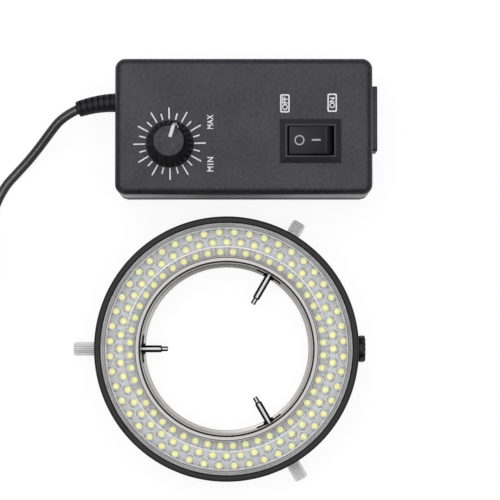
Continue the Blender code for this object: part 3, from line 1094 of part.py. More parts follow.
def make_inner_wires():
    """Live, switched live and neutral, and the pigtail inside the strain relief."""
    tab_end = INLET_TAB_X - INLET_TAB_LENGTH - SEAT_GAP - WIRE_RADIUS
    terminal_end = SWITCH_BOTTOM + TERMINAL_SEAT - TERMINAL_LENGTH - SEAT_GAP
    line_x = SWITCH_X - TERMINAL_SPACING / 2
    load_x = SWITCH_X + TERMINAL_SPACING / 2
    live_y = INLET_Y + INLET_PIN_SPACING / 2
    neutral_y = INLET_Y - INLET_PIN_SPACING / 2
    inner_wire("wire_live", [
        (tab_end, live_y, INLET_HEIGHT),
        (tab_end - 2 * WIRE_RADIUS, live_y - 2 * WIRE_RADIUS, INLET_HEIGHT - 3 * WIRE_RADIUS),
        ((tab_end + load_x) / 2, (live_y + SWITCH_Y) / 2, PARTS_BASE + 6 * WIRE_RADIUS),
        (load_x, SWITCH_Y, terminal_end - 2 * WIRE_RADIUS),
        (load_x, SWITCH_Y, terminal_end),
    ], BROWN_SLEEVE)
    inner_wire("wire_switched", [
        (line_x, SWITCH_Y, terminal_end),
        (line_x, SWITCH_Y, terminal_end - 2 * WIRE_RADIUS),
        (line_x, SWITCH_Y + 2 * WIRE_RADIUS, PARTS_BASE + 2 * WIRE_RADIUS),
        (line_x, SWITCH_Y + 2 * WIRE_RADIUS, PARTS_BASE),
    ], BROWN_SLEEVE)
    drop_x = tab_end - 3 * WIRE_RADIUS
    board_edge = DRIVER_BOARD_X + DRIVER_BOARD_LENGTH / 2 - POST_INSET
    inner_wire("wire_neutral", [
        (tab_end, neutral_y, INLET_HEIGHT),
        (drop_x, neutral_y, INLET_HEIGHT - 2 * WIRE_RADIUS),
        (board_edge + 2 * WIRE_RADIUS, neutral_y + 2 * WIRE_RADIUS, PARTS_BASE + 6 * WIRE_RADIUS),
        (board_edge, neutral_y + 2 * WIRE_RADIUS, PARTS_BASE + 3 * WIRE_RADIUS),
        (board_edge, neutral_y + 2 * WIRE_RADIUS, PARTS_BASE),
    ], BLUE_SLEEVE)
    start = -BOX_LENGTH / 2 + BOX_WALL + 2 * SEAT_GAP + RELIEF_FLANGE_THICKNESS
    board_start = DRIVER_BOARD_X - DRIVER_BOARD_LENGTH / 2 + POST_INSET
    inner_wire("wire_output", [
        (start, RELIEF_Y, RELIEF_HEIGHT),
        (start + 3 * WIRE_RADIUS, RELIEF_Y, RELIEF_HEIGHT),
        (board_start, RELIEF_Y, PARTS_BASE + 6 * WIRE_RADIUS),
        (board_start + WIRE_RADIUS, RELIEF_Y, PARTS_BASE + 2 * WIRE_RADIUS),
        (board_start + WIRE_RADIUS, RELIEF_Y, PARTS_BASE),
    ], BLACK_SLEEVE)


def relief_line(share):
    """A point on the strain relief's middle line, from the wall at 0 to its end at 1."""
    return Vector((-BOX_LENGTH / 2 - RELIEF_LENGTH * share, RELIEF_Y - RELIEF_DROP * share ** 2,
                   RELIEF_HEIGHT - RELIEF_SAG * share ** 2))


def make_strain_relief():
    """A tapered boot with ribs, its neck through the wall and its flange inside."""
    outside = -BOX_LENGTH / 2 - SEAT_GAP
    inside = -BOX_LENGTH / 2 + BOX_WALL + SEAT_GAP
    points = [(inside + RELIEF_FLANGE_THICKNESS, RELIEF_FLANGE_RADIUS), (inside + RIB_EDGE / 2, RELIEF_FLANGE_RADIUS),
              (inside - RIB_EDGE / 2, RELIEF_NECK_RADIUS), (outside + RIB_EDGE / 2, RELIEF_NECK_RADIUS),
              (outside - RIB_EDGE / 2, RELIEF_ROOT_RADIUS)]
    line = [Vector((x, RELIEF_Y, RELIEF_HEIGHT)) for x, _ in points]
    radii = [radius for _, radius in points]
    start_share = 2 * SEAT_GAP / RELIEF_LENGTH
    edge = RIB_EDGE / RELIEF_LENGTH / 2
    pitch = (1 - start_share) / (RELIEF_RIBS + RELIEF_RIB_SHARE)
    for rib in range(RELIEF_RIBS):
        groove_start = start_share + (rib + RELIEF_RIB_SHARE) * pitch
        groove_end = start_share + (rib + 1) * pitch
        for share, grooved in ((groove_start - edge, 0), (groove_start + edge, 1), (groove_end - edge, 1),
                               (groove_end + edge, 0)):
            taper = RELIEF_ROOT_RADIUS + (RELIEF_END_RADIUS - RELIEF_ROOT_RADIUS) * share
            line.append(relief_line(share))
            radii.append(taper - RELIEF_GROOVE_DEPTH * grooved)
    line.append(relief_line(1))
    radii.append(RELIEF_END_RADIUS)
    tube("strain_relief", line, RELIEF_ROOT_RADIUS, SOFT_PLASTIC, radii=radii, parent=BOX)


def coil_centre():
    """The coil's middle, so that its outer turn goes on from the lead's last point."""
    entry = RELIEF_END + Vector((*LEAD_ROUTE[-1][:2], 0))
    return Vector((entry.x - coil_radius(0), entry.y - COIL_STRAIGHT, LEAD_ROUTE[-1][2]))


def coil_radius(turn):
    """How far out the lead lies after so many turns: in and out again, once each layer."""
    per_layer = COIL_TURNS / COIL_LAYERS
    phase = turn / per_layer % 2
    share = phase if phase <= 1 else 2 - phase
    span = per_layer * coil_pitch()
    return COIL_MIDDLE_RADIUS + span / 2 - span * share


def coil_pitch():
    return 2 * LEAD_RADIUS + COIL_GAP


def coil_height(turn):
    """The layer's height, with each climb in the half turn where the spiral reverses."""
    per_layer = COIL_TURNS / COIL_LAYERS
    level = 0.0
    for layer in range(1, COIL_LAYERS):
        share = min(1.0, max(0.0, (turn - layer * per_layer) / COIL_CLIMB_SHARE + 1 / 2))
        level += share * share * (3 - 2 * share)
    return level * coil_pitch()


def coil_line():
    """Clockwise turns from the coil's right side, with a straight stretch at each end."""
    centre = coil_centre()
    count = round(COIL_TURNS * COIL_LOOP_POINTS)
    points = [centre + Vector((coil_radius(0), COIL_STRAIGHT, 0))]
    for number in range(count + 1):
        turn = number / COIL_LOOP_POINTS
        angle = -2 * math.pi * turn
        radius = coil_radius(turn)
        points.append(centre + Vector((radius * math.cos(angle), radius * math.sin(angle), coil_height(turn))))
    end = points[-1]
    points.append(end + Vector((0, COIL_STRAIGHT, 0)))
    return points


def least_coil_gap(points):
    """The least distance between stretches of the coil that aren't neighbours, less the lead's thickness."""
    line = np.array(points)
    least = 1.0
    skip = COIL_LOOP_POINTS // 2
    for number in range(len(line) - skip):
        apart = np.linalg.norm(line[number + skip:] - line[number], axis=1)
        least = min(least, apart.min())
    return least - 2 * LEAD_RADIUS


def make_output_lead():
    exit_point = relief_line(1) + Vector((BOX_X, BOX_Y, 0))
    onward = (relief_line(1) - relief_line(RELIEF_END_SHARE)).normalized()
    start = exit_point + onward * SEAT_GAP
    route = [start, *(RELIEF_END.xy.to_3d() + Vector(offset) for offset in LEAD_ROUTE)]
    lead = smooth_route(route, LEAD_POINT_SPACING)
    coil = coil_line()
    lead[-1] = lead[-1] + Vector((0, SEAT_GAP, 0))
    tube("output_lead", lead, LEAD_RADIUS, SOFT_PLASTIC)
    tube("output_coil", coil, LEAD_RADIUS, SOFT_PLASTIC, THIN_RESOLUTION)
    print("least gap of the coil to itself, in metres: %.5f" % least_coil_gap(coil))
    tail_start = coil[-1] + Vector((0, SEAT_GAP, 0))
    tail = [tail_start, *(tail_start.xy.to_3d() + Vector(offset) for offset in PLUG_ROUTE)]
    tube("plug_lead", smooth_route(tail, LEAD_POINT_SPACING), LEAD_RADIUS, SOFT_PLASTIC)
    return tail[-1]


def make_plug(lead_end):
    """A moulded plug with a ribbed boot and a hollow barrel, lying along +Y."""
    turn = (-math.pi / 2, 0, 0)
    start = lead_end + Vector((0, SEAT_GAP, 0))
    length = PLUG_BOOT_LENGTH + PLUG_BODY_LENGTH
    side = PLUG_BODY_RADIUS - PLUG_FILLET
    profile = [(0, length), *arc((side, length - PLUG_FILLET), PLUG_FILLET, 90, 0, FILLET_POINTS),
               *arc((side, PLUG_BOOT_LENGTH + PLUG_FILLET), PLUG_FILLET, 0, -90, FILLET_POINTS)]
    pitch = PLUG_BOOT_LENGTH / PLUG_BOOT_RIBS
    flare = (PLUG_BODY_RADIUS - PLUG_BOOT_RADIUS) * PLUG_BOOT_FLARE_SHARE
    for rib in range(PLUG_BOOT_RIBS, 0, -1):
        radius = PLUG_BOOT_RADIUS + flare * rib / PLUG_BOOT_RIBS
        groove = max(LEAD_RADIUS + RIB_EDGE, radius - RELIEF_GROOVE_DEPTH)
        top = rib * pitch
        step = top - pitch * PLUG_GROOVE_SHARE
        profile += [(groove, top), (groove, step), (radius, step - RIB_EDGE), (radius, top - pitch + RIB_EDGE)]
    profile += [(PLUG_BOOT_RADIUS, 0), (0, 0)]
    turned("plug_body", profile, SOFT_PLASTIC, start, SMALL_STEPS, False, turn)
    sleeve = [(0, PLUG_BARREL_LENGTH), (PLUG_BARREL_RADIUS - RIB_EDGE, PLUG_BARREL_LENGTH),
              (PLUG_BARREL_RADIUS, PLUG_BARREL_LENGTH - RIB_EDGE), (PLUG_BARREL_RADIUS, 0), (0, 0)]
    barrel_start = start + Vector((0, length + SEAT_GAP, 0))
    barrel = turned("plug_barrel", sleeve, NICKEL, barrel_start, SMALL_STEPS, False, turn)
    bore = rod_mesh("plug_bore", PLUG_BARREL_BORE, PLUG_BARREL_BORE_DEPTH + CUT_OVERRUN, TINY_STEPS)
    bore_start = barrel_start + Vector((0, PLUG_BARREL_LENGTH - PLUG_BARREL_BORE_DEPTH, 0))
    cut(barrel, cutter("plug_bore", bore, bore_start, turn))


def main():
    make_ring_housing()
    make_mounting_collar()
    make_collar_screws()
    make_led_board()
    make_led_circles()
    make_clear_cover()
    make_thumb_screws()
    make_ring_jack()
    make_board_wires()
    make_case_front()
    make_case_back()
    make_case_screws()
    make_knob()
    make_potentiometer()
    make_switch_housing()
    make_rocker_paddle()
    make_switch_terminals()
    make_inlet()
    make_driver_board()
    make_transformer()
    make_capacitor("mains_capacitor", MAINS_CAPACITOR_X, MAINS_CAPACITOR_Y, MAINS_CAPACITOR_RADIUS,
                   MAINS_CAPACITOR_HEIGHT)
    make_capacitor("output_capacitor", OUTPUT_CAPACITOR_X, OUTPUT_CAPACITOR_Y, OUTPUT_CAPACITOR_RADIUS,
                   OUTPUT_CAPACITOR_HEIGHT)
    make_choke()
    make_regulator()
    make_fuse()
    make_inner_wires()
    make_strain_relief()
    make_plug(make_output_lead())


main()
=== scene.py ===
"""Looks of the microscope ring light with its dimmer box.

Lengths are in metres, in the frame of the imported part: +Z up, the ring head towards -Y and the dimmer box
towards +Y, both lying on the table with their working faces up. The classes hold angles in degrees, and the
camera's lens and sensor in millimetres.
"""

import logging
import math
from dataclasses import dataclass
from enum import Enum

import bmesh
import bpy
import numpy as np
from mathutils import Matrix, Vector

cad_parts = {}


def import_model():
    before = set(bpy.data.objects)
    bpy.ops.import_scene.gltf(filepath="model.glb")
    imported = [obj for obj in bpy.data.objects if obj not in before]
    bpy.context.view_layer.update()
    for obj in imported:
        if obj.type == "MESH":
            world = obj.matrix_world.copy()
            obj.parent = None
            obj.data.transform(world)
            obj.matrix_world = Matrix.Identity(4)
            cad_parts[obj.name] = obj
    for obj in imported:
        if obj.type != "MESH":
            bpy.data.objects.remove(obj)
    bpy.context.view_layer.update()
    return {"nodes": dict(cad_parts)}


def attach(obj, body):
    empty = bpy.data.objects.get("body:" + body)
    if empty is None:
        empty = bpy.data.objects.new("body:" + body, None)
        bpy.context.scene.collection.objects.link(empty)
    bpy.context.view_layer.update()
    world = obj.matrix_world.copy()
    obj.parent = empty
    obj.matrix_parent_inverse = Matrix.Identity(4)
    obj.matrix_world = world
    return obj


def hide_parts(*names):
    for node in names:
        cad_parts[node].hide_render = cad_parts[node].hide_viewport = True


LOG = logging.getLogger("ring_light")

Point = tuple[float, float, float]
Profile = list[tuple[float, float]]
Colour = tuple[float, float, float]

MM = 0.001
RING_CENTRE = Vector((0.00075, -0.027426, 0.0))
BOX_CENTRE = Vector((0.00695, 0.051574, 0.0))
HAIRLINE = 0.00002
MERGE_DISTANCE = 0.000002
NOISE_SPAN = (0.3, 0.7)
GLOSS_SWING = 0.05
CAPITAL_HEIGHT = 0.70
SCREW_ANGLES = {"left": 180.0, "upper": 60.0, "lower": 300.0}
SCREW_HEIGHT = 0.0070
JACK_HEIGHT = 0.0065
BOARD_TOP = 0.0126
RELIEF_LENGTH = 0.0142
RELIEF_DROP = 0.0023
RELIEF_SAG = 0.0012
COLLAR_SCREW_ANGLES = (0.0, 120.0, 240.0)
COLLAR_SCREW_CIRCLE = 0.03545


class Body(Enum):
    """The bodies that a piece can ride on."""

    ROOT = "root"
    DIMMER = "dimmer"
    ROCKER = "rocker"
    HEAD_LEFT = "screw_head_left"
    HEAD_UPPER = "screw_head_upper"
    HEAD_LOWER = "screw_head_lower"
    SHANK_LEFT = "screw_shank_left"
    SHANK_UPPER = "screw_shank_upper"
    SHANK_LOWER = "screw_shank_lower"


class Slot(Enum):
    """The record's material slots, one named for each new piece; nothing in the script reads them."""

    BLACK_PLASTIC = "black_plastic"
    CASE_PLASTIC = "case_plastic"
    KNOB_PLASTIC = "knob_plastic"
    SOFT_PLASTIC = "soft_plastic"
    ALUMINIUM = "aluminium"
    STEEL = "steel"
    NICKEL = "nickel"
    WHITE_BOARD = "white_board"
    CLEAR_LED = "clear_led"
    CLEAR_PLATE = "clear_plate"


class NodeTree:
    """The node tree of a material or a room, with short ways to add and link nodes."""

    def __init__(self, name: str, room: bool = False) -> None:
        """Starts a new material's tree, or a new world's, with only its shader.

        Args:
            name: the material's or world's name.
            room: whether it is a world.
        """
        self.owner = bpy.data.worlds.new(name) if room else bpy.data.materials.new(name)
        self.owner.use_nodes = True
        self.tree = self.owner.node_tree
        self.shader = self.tree.nodes["Background" if room else "Principled BSDF"]
        self.place = self.add("ShaderNodeTexCoord").outputs["Generated" if room else "Object"]

    def add(self, kind: str, **settings: object) -> bpy.types.Node:
        """Adds a node and sets its own settings.

        Args:
            kind: the node's Blender type name.
            **settings: its properties by name.

        Returns:
            The new node.
        """
        node = self.tree.nodes.new(kind)
        for key, value in settings.items():
            setattr(node, key, value)
        return node

    def link(self, source: bpy.types.NodeSocket, node: bpy.types.Node, socket: str | int) -> None:
        """Links an output to a named input of a node."""
        self.tree.links.new(source, node.inputs[socket])

    def math(self, operation: str, a: object, b: object = 0.0, clamp: bool = False) -> bpy.types.NodeSocket:
        """Adds a Math node fed by sockets or numbers.

        Args:
            operation: the Math node's operation.
            a: the first socket or number.
            b: the second socket or number.
            clamp: whether the result stays from 0 to 1.

        Returns:
            The result's socket.
        """
        node = self.add("ShaderNodeMath", operation=operation, use_clamp=clamp)
        for index, value in enumerate((a, b)):
            if isinstance(value, bpy.types.NodeSocket):
                self.link(value, node, index)
            else:
                node.inputs[index].default_value = value
        return node.outputs[0]

    def noise(self, scale: float, detail: float = 2.0, where: bpy.types.NodeSocket | None = None,
              roughness: float = 0.5) -> bpy.types.NodeSocket:
        """Adds a noise texture.

        Args:
            scale: how many of its largest spots cross a metre.
            detail: how many finer layers it has.
            where: the coordinates it reads, the object's own if none are given.
            roughness: how strong its finer layers are.

        Returns:
            Its grey output.
        """
        node = self.add("ShaderNodeTexNoise")
        node.inputs["Scale"].default_value = scale
        node.inputs["Detail"].default_value = detail
        node.inputs["Roughness"].default_value = roughness
        self.link(where or self.place, node, "Vector")
        return node.outputs["Fac"]

    def spread(self, source: bpy.types.NodeSocket, low: float, high: float) -> bpy.types.NodeSocket:
        """Maps the usual span of a noise onto a range.

        Args:
            source: the noise.
            low: what its low end becomes.
            high: what its high end becomes.

        Returns:
            The mapped grey.
        """
        node = self.add("ShaderNodeMapRange")
        for socket, value in zip(("From Min", "From Max", "To Min", "To Max"), (*NOISE_SPAN, low, high)):
            node.inputs[socket].default_value = value
        self.link(source, node, "Value")
        return node.outputs["Result"]

    def blend(self, share: bpy.types.NodeSocket, first: Colour, second: Colour) -> bpy.types.NodeSocket:
        """Mixes two colours.

        Args:
            share: how much of the second there is.
            first: the colour at 0.
            second: the colour at 1.

        Returns:
            The mixed colour.
        """
        node = self.add("ShaderNodeMix", data_type="RGBA")
        node.inputs[6].default_value = (*first, 1.0)
        node.inputs[7].default_value = (*second, 1.0)
        self.link(share, node, 0)
        return node.outputs[2]

    def bump(self, height: bpy.types.NodeSocket, distance: float, strength: float) -> bpy.types.NodeSocket:
        """Turns a height into a bumped normal.

        Args:
            height: the height, from 0 to 1.
            distance: how deep its full range is, in metres.
            strength: how strong the bump is.

        Returns:
            The normal.
        """
        node = self.add("ShaderNodeBump")
        node.inputs["Distance"].default_value = distance
        node.inputs["Strength"].default_value = strength
        self.link(height, node, "Height")
        return node.outputs["Normal"]

    def vector(self, operation: str, source: bpy.types.NodeSocket, other: Point | None = None) -> bpy.types.Node:
        """Adds a Vector Math node.

        Args:
            operation: its operation.
            source: the vector it works on.
            other: the second vector, where it takes one.

        Returns:
            The node.
        """
        node = self.add("ShaderNodeVectorMath", operation=operation)
        self.link(source, node, 0)
        if other is not None:
            node.inputs[1].default_value = other
        return node

    def ramp(self, share: bpy.types.NodeSocket, stops: Profile) -> bpy.types.NodeSocket:
        """Adds a ramp of greys.

        Args:
            share: the place on the ramp, from 0 to 1.
            stops: the place and grey of each stop.

        Returns:
            The ramp's colour socket.
        """
        node = self.add("ShaderNodeValToRGB")
        steps = node.color_ramp.elements
        while len(steps) < len(stops):
            steps.new(0.5)
        for step, (position, grey) in zip(steps, stops):
            step.position = position
            step.color = (grey, grey, grey, 1.0)
        self.link(share, node, "Fac")
        return node.outputs["Color"]

    def feed(self, **sources: bpy.types.NodeSocket) -> None:
        """Links sockets to the shader's inputs, with _ for each space in an input's name."""
        for name, source in sources.items():
            self.link(source, self.shader, name.replace("_", " "))

    def fix(self, **values: float | tuple[float, ...]) -> None:
        """Sets constant values on the shader's own sockets, with _ for each space."""
        for name, value in values.items():
            self.shader.inputs[name.replace("_", " ")].default_value = value


@dataclass(frozen=True)
class MouldedPlastic:
    """Injection-moulded plastic with a spark-eroded grain and slight mottling."""

    name: str
    colour: Colour
    roughness: float
    grain: float = 0.00030
    depth: float = 0.00002
    specular: float = 0.4
    mottle: float = 0.2

    def make(self) -> bpy.types.Material:
        """Builds the node material.

        Returns:
            The material.
        """
        tree = NodeTree(self.name)
        pale = tuple(min(1.0, c * (1 + self.mottle)) for c in self.colour)
        deep = tuple(c * (1 - self.mottle) for c in self.colour)
        cloud = tree.noise(55.0, 3.0)
        fine = tree.noise(1.0 / self.grain, 1.5, roughness=0.6)
        speckle = tree.noise(0.36 / self.grain, 1.0)
        tree.feed(Base_Color=tree.blend(tree.spread(speckle, 0.0, 1.0), deep, pale))
        gloss = tree.math("ADD", tree.spread(fine, -GLOSS_SWING, GLOSS_SWING),
                          tree.spread(cloud, self.roughness - GLOSS_SWING, self.roughness + GLOSS_SWING))
        tree.feed(Roughness=gloss, Normal=tree.bump(fine, self.depth, 0.8))
        tree.fix(Specular_IOR_Level=self.specular)
        return tree.owner


@dataclass(frozen=True)
class TurnedMetal:
    """Metal with fine tool lines round the ring head's axis.

    Attributes:
        streak: how far a radian round the axis counts, which sets how long the lines are.
    """

    name: str
    colour: Colour
    roughness: float
    centre: Point
    lines: float = 5200.0
    streak: float = 0.0012

    def make(self) -> bpy.types.Material:
        """Builds the node material.

        Returns:
            The material.
        """
        tree = NodeTree(self.name)
        shift = tree.vector("SUBTRACT", tree.place, self.centre)
        parts = tree.add("ShaderNodeSeparateXYZ")
        tree.link(shift.outputs[0], parts, 0)
        x, y, z = parts.outputs
        radius = tree.math("SQRT", tree.math("ADD", tree.math("MULTIPLY", x, x), tree.math("MULTIPLY", y, y)))
        turn = tree.math("MULTIPLY", tree.math("ARCTAN2", y, x), self.streak)
        lathe = tree.add("ShaderNodeCombineXYZ")
        for index, source in enumerate((radius, turn, z)):
            tree.link(source, lathe, index)
        streaks = tree.noise(self.lines, 3.0, lathe.outputs[0], 0.65)
        broad = tree.noise(420.0, 2.0, lathe.outputs[0])
        handled = tree.noise(60.0, 3.0)
        deep = tuple(c * 0.86 for c in self.colour)
        tree.feed(Base_Color=tree.blend(tree.spread(broad, 0.0, 1.0), deep, self.colour))
        gloss = tree.math("ADD", tree.spread(streaks, -0.06, 0.08), tree.spread(handled, self.roughness - 0.05,
                                                                                self.roughness + 0.06))
        tree.feed(Roughness=gloss, Normal=tree.bump(streaks, 0.00001, 0.5))
        tree.fix(Metallic=1.0)
        return tree.owner


@dataclass(frozen=True)
class PlainMetal:
    """Drawn or plated metal with faint stains and scratches.

    Attributes:
        bare: how much of it is bare metal and not under a dull white oxide.
    """

    name: str
    colour: Colour
    roughness: float
    scratches: float = 0.4
    bare: float = 1.0

    def make(self) -> bpy.types.Material:
        """Builds the node material.

        Returns:
            The material.
        """
        tree = NodeTree(self.name)
        stain_and_shade = tree.noise(260.0, 3.0)
        stretch = tree.add("ShaderNodeMapping")
        stretch.inputs["Scale"].default_value = (1.0, 0.12, 0.35)
        stretch.inputs["Rotation"].default_value = (0.2, 0.1, 0.7)
        tree.link(tree.place, stretch, "Vector")
        scratch = tree.noise(6500.0, 4.0, stretch.outputs["Vector"], 0.7)
        deep = tuple(c * 0.80 for c in self.colour)
        tree.feed(Base_Color=tree.blend(tree.spread(stain_and_shade, 0.0, 1.0), deep, self.colour))
        gloss = tree.math("ADD", tree.spread(scratch, -0.04, 0.06), tree.spread(stain_and_shade, self.roughness - 0.04,
                                                                                self.roughness + 0.06))
        tree.feed(Roughness=gloss, Normal=tree.bump(scratch, 0.00001, self.scratches))
        tree.fix(Metallic=self.bare)
        return tree.owner


@dataclass(frozen=True)
class OiledSteelPaintedHighlight:
    """Blackened steel under oil, with a painted highlight: its colour is bright where the surface faces the viewer and
    near black towards its flanks, which paints the gloss along the middle of a round bar and painted shade at its
    sides.
    """

    name: str
    # The bright colour of the painted highlight, then the near black of the painted shade on the flanks.
    gloss: float
    dark: float
    roughness: float
    middle: float = 0.05
    fall: float = 14.0

    def make(self) -> bpy.types.Material:
        """Builds the node material.

        Returns:
            The material.
        """
        tree = NodeTree(self.name)
        facing = tree.add("ShaderNodeLayerWeight")
        facing.inputs["Blend"].default_value = 0.5
        film = tree.noise(900.0, 2.0)
        edge = tree.math("ADD", facing.outputs["Facing"], tree.spread(film, -0.008, 0.008))
        flank = tree.math("MULTIPLY", tree.math("SUBTRACT", edge, self.middle), self.fall, clamp=True)
        # Painted highlight: the colour turns from the bright gloss to the near-black flanks as the surface turns away
        # from the viewer.
        tree.feed(Base_Color=tree.blend(flank, (self.gloss,) * 3, (self.dark,) * 3))
        tree.feed(Roughness=tree.spread(film, self.roughness - 0.03, self.roughness + 0.05),
                  Normal=tree.bump(film, 0.000004, 0.3))
        tree.fix(Metallic=1.0)
        return tree.owner


@dataclass(frozen=True)
class SolderMask:
    """Lacquered circuit board with faint copper runs under the lacquer."""

    name: str
    colour: Colour
    track: Colour
    tracks: float = 260.0

    def make(self) -> bpy.types.Material:
        """Builds the node material.

        Returns:
            The material.
        """
        tree = NodeTree(self.name)
        cells = tree.add("ShaderNodeTexVoronoi", feature="F1", distance="MANHATTAN")
        cells.inputs["Scale"].default_value = self.tracks
        tree.link(tree.place, cells, "Vector")
        weave = tree.noise(2600.0, 1.0)
        runs = tree.math("GREATER_THAN", cells.outputs["Distance"], 0.52)
        share = tree.math("ADD", tree.math("MULTIPLY", runs, 0.55), tree.spread(weave, 0.0, 0.35), clamp=True)
        tree.feed(Base_Color=tree.blend(share, self.colour, self.track))
        tree.feed(Roughness=tree.spread(weave, 0.38, 0.52), Normal=tree.bump(runs, 0.00002, 0.5))
        tree.fix(Specular_IOR_Level=0.5)
        return tree.owner


@dataclass(frozen=True)
class ClearEpoxy:
    """The lens of a lamp, with slight cords of flow in it and a faint glow that is painted light.

    Attributes:
        clear: how much of the light passes; the rest is scattered by the milky resin.
    """

    name: str
    colour: Colour
    clear: float
    glow: float

    def make(self) -> bpy.types.Material:
        """Builds the node material.

        Returns:
            The material.
        """
        tree = NodeTree(self.name)
        flow = tree.noise(900.0, 2.0)
        deep = tuple(c * 0.93 for c in self.colour)
        tree.feed(Base_Color=tree.blend(tree.spread(flow, 0.0, 1.0), deep, self.colour))
        tree.feed(Roughness=tree.spread(flow, 0.02, 0.07), Normal=tree.bump(flow, 0.00002, 0.3))
        tree.fix(Transmission_Weight=self.clear, IOR=1.45, Emission_Strength=self.glow,
                 Emission_Color=(1.0, 1.0, 0.96, 1.0))
        return tree.owner


@dataclass(frozen=True)
class Phosphor:
    """Powdery yellow phosphor in a lamp's cup, which glows though the lamp is off: painted light."""

    name: str
    colour: Colour
    glow: float

    def make(self) -> bpy.types.Material:
        """Builds the node material.

        Returns:
            The material.
        """
        tree = NodeTree(self.name)
        powder = tree.noise(5200.0, 3.0)
        batch = tree.noise(110.0, 1.0)
        warm = (min(1.0, self.colour[0] * 1.05), self.colour[1] * 0.95, self.colour[2] * 0.80)
        tree.feed(Base_Color=tree.blend(tree.spread(batch, 0.0, 1.0), self.colour, warm))
        tree.feed(Roughness=tree.spread(powder, 0.55, 0.80), Normal=tree.bump(powder, 0.00003, 0.6))
        tree.fix(Emission_Color=(*self.colour, 1.0), Emission_Strength=self.glow)
        return tree.owner


@dataclass(frozen=True)
class ClearSheet:
    """Clear acrylic cover with a moulding line and a rim, both painted by distance from the axis: the moulding line's
    white is a painted highlight, a darker ring at the inner edge is painted shade, and the pale and dark rings near
    the rim paint the highlights and shade of the cover's edge.

    Attributes:
        stops: the radius, opacity and grey of each step of the pattern.
        highlight_arcs: the radius, half width, opacity, middle and half angle of each bright arc, a painted highlight,
            in the sheet.
    """

    name: str
    centre: Point
    inner: float
    outer: float
    stops: tuple[tuple[float, float, float], ...]
    highlight_arcs: tuple[tuple[float, float, float, float, float], ...]

    def arc(self, tree: NodeTree, flat: bpy.types.NodeSocket, radius: bpy.types.NodeSocket,
            shape: tuple[float, float, float, float, float]) -> bpy.types.NodeSocket:
        """Adds one painted highlight: a bright arc, which fades out at both ends.

        Args:
            tree: the material's nodes.
            flat: the way from the axis, level.
            radius: the distance from the axis.
            shape: the arc's radius, half width, opacity, middle and half angle.

        Returns:
            The arc's opacity.
        """
        reach, half_width, opacity, middle, half_angle = shape
        away = tree.math("ABSOLUTE", tree.math("SUBTRACT", radius, reach))
        line = tree.math("SUBTRACT", 1.6, tree.math("DIVIDE", away, half_width / 1.6), clamp=True)
        turn = tree.vector("DOT_PRODUCT", flat, (math.cos(math.radians(middle)), math.sin(math.radians(middle)), 0.0))
        end = math.cos(math.radians(half_angle))
        along = tree.math("SUBTRACT", tree.math("DIVIDE", turn.outputs["Value"], radius), end)
        return tree.math("MULTIPLY", line, tree.math("MULTIPLY", tree.math("MULTIPLY", along, 5.0, True), opacity))

    def make(self) -> bpy.types.Material:
        """Builds the node material.

        Returns:
            The material.
        """
        tree = NodeTree(self.name)
        shift = tree.vector("SUBTRACT", tree.place, self.centre)
        flat = tree.vector("MULTIPLY", shift.outputs[0], (1.0, 1.0, 0.0))
        length = tree.vector("LENGTH", flat.outputs[0])
        unevenness = tree.noise(150.0, 3.0)
        wander = tree.spread(unevenness, -0.00002, 0.00002)
        radius = tree.math("ADD", length.outputs["Value"], wander)
        span = self.outer - self.inner
        share = tree.math("DIVIDE", tree.math("SUBTRACT", radius, self.inner), span, clamp=True)
        # Painted light: the ramps paint the shade and highlights of the cover's edges as rings, and each bright arc
        # paints a highlight.
        covers, greys = ([((stop[0] - self.inner) / span, stop[index]) for stop in self.stops] for index in (1, 2))
        opacity = tree.math("MULTIPLY", tree.ramp(share, covers), tree.spread(unevenness, 0.75, 1.2), clamp=True)
        for shape in self.highlight_arcs:
            opacity = tree.math("MAXIMUM", opacity, self.arc(tree, flat.outputs[0], radius, shape))
        tree.feed(Base_Color=tree.ramp(share, greys), Alpha=opacity)
        tree.feed(Roughness=tree.spread(tree.noise(400.0, 3.0), 0.04, 0.10))
        tree.fix(IOR=1.49, Specular_IOR_Level=0.8)
        return tree.owner


@dataclass(frozen=True)
class PrintInk:
    """Screen-printed ink, slightly uneven in cover."""

    name: str
    colour: Colour
    under: Colour

    def make(self) -> bpy.types.Material:
        """Builds the node material.

        Returns:
            The material.
        """
        tree = NodeTree(self.name)
        cover = tree.noise(3800.0, 2.0)
        tree.feed(Base_Color=tree.blend(tree.spread(cover, 0.0, 0.5), self.colour, self.under))
        tree.feed(Roughness=tree.spread(cover, 0.42, 0.60), Normal=tree.bump(cover, 0.00001, 0.4))
        return tree.owner


@dataclass(frozen=True)
class SoftVinyl:
    """Extruded vinyl of the lead, with a paler line along its groove that is a painted highlight.

    Attributes:
        edge: how far round from its middle, as a share, the vinyl reaches before the groove.
    """

    name: str
    colour: Colour
    # The paler colour of the painted highlight along the groove.
    groove: Colour
    edge: float = 0.478

    def make(self) -> bpy.types.Material:
        """Builds the node material, whose UV map's V runs once round the lead from the groove.

        Returns:
            The material.
        """
        tree = NodeTree(self.name)
        around = tree.add("ShaderNodeSeparateXYZ")
        tree.link(tree.add("ShaderNodeUVMap", uv_map="lead").outputs["UV"], around, 0)
        away = tree.math("ABSOLUTE", tree.math("SUBTRACT", around.outputs["Y"], 0.5))
        near = tree.math("GREATER_THAN", away, self.edge)
        streak = tree.noise(700.0, 2.0)
        share = tree.math("MULTIPLY", near, tree.spread(streak, 0.5, 1.0), clamp=True)
        tree.feed(Base_Color=tree.blend(share, self.colour, self.groove))
        fine = tree.noise(2600.0, 2.0)
        tree.feed(Roughness=tree.spread(fine, 0.42, 0.58), Normal=tree.bump(fine, 0.00002, 0.5))
        tree.fix(Specular_IOR_Level=0.5)
        return tree.owner


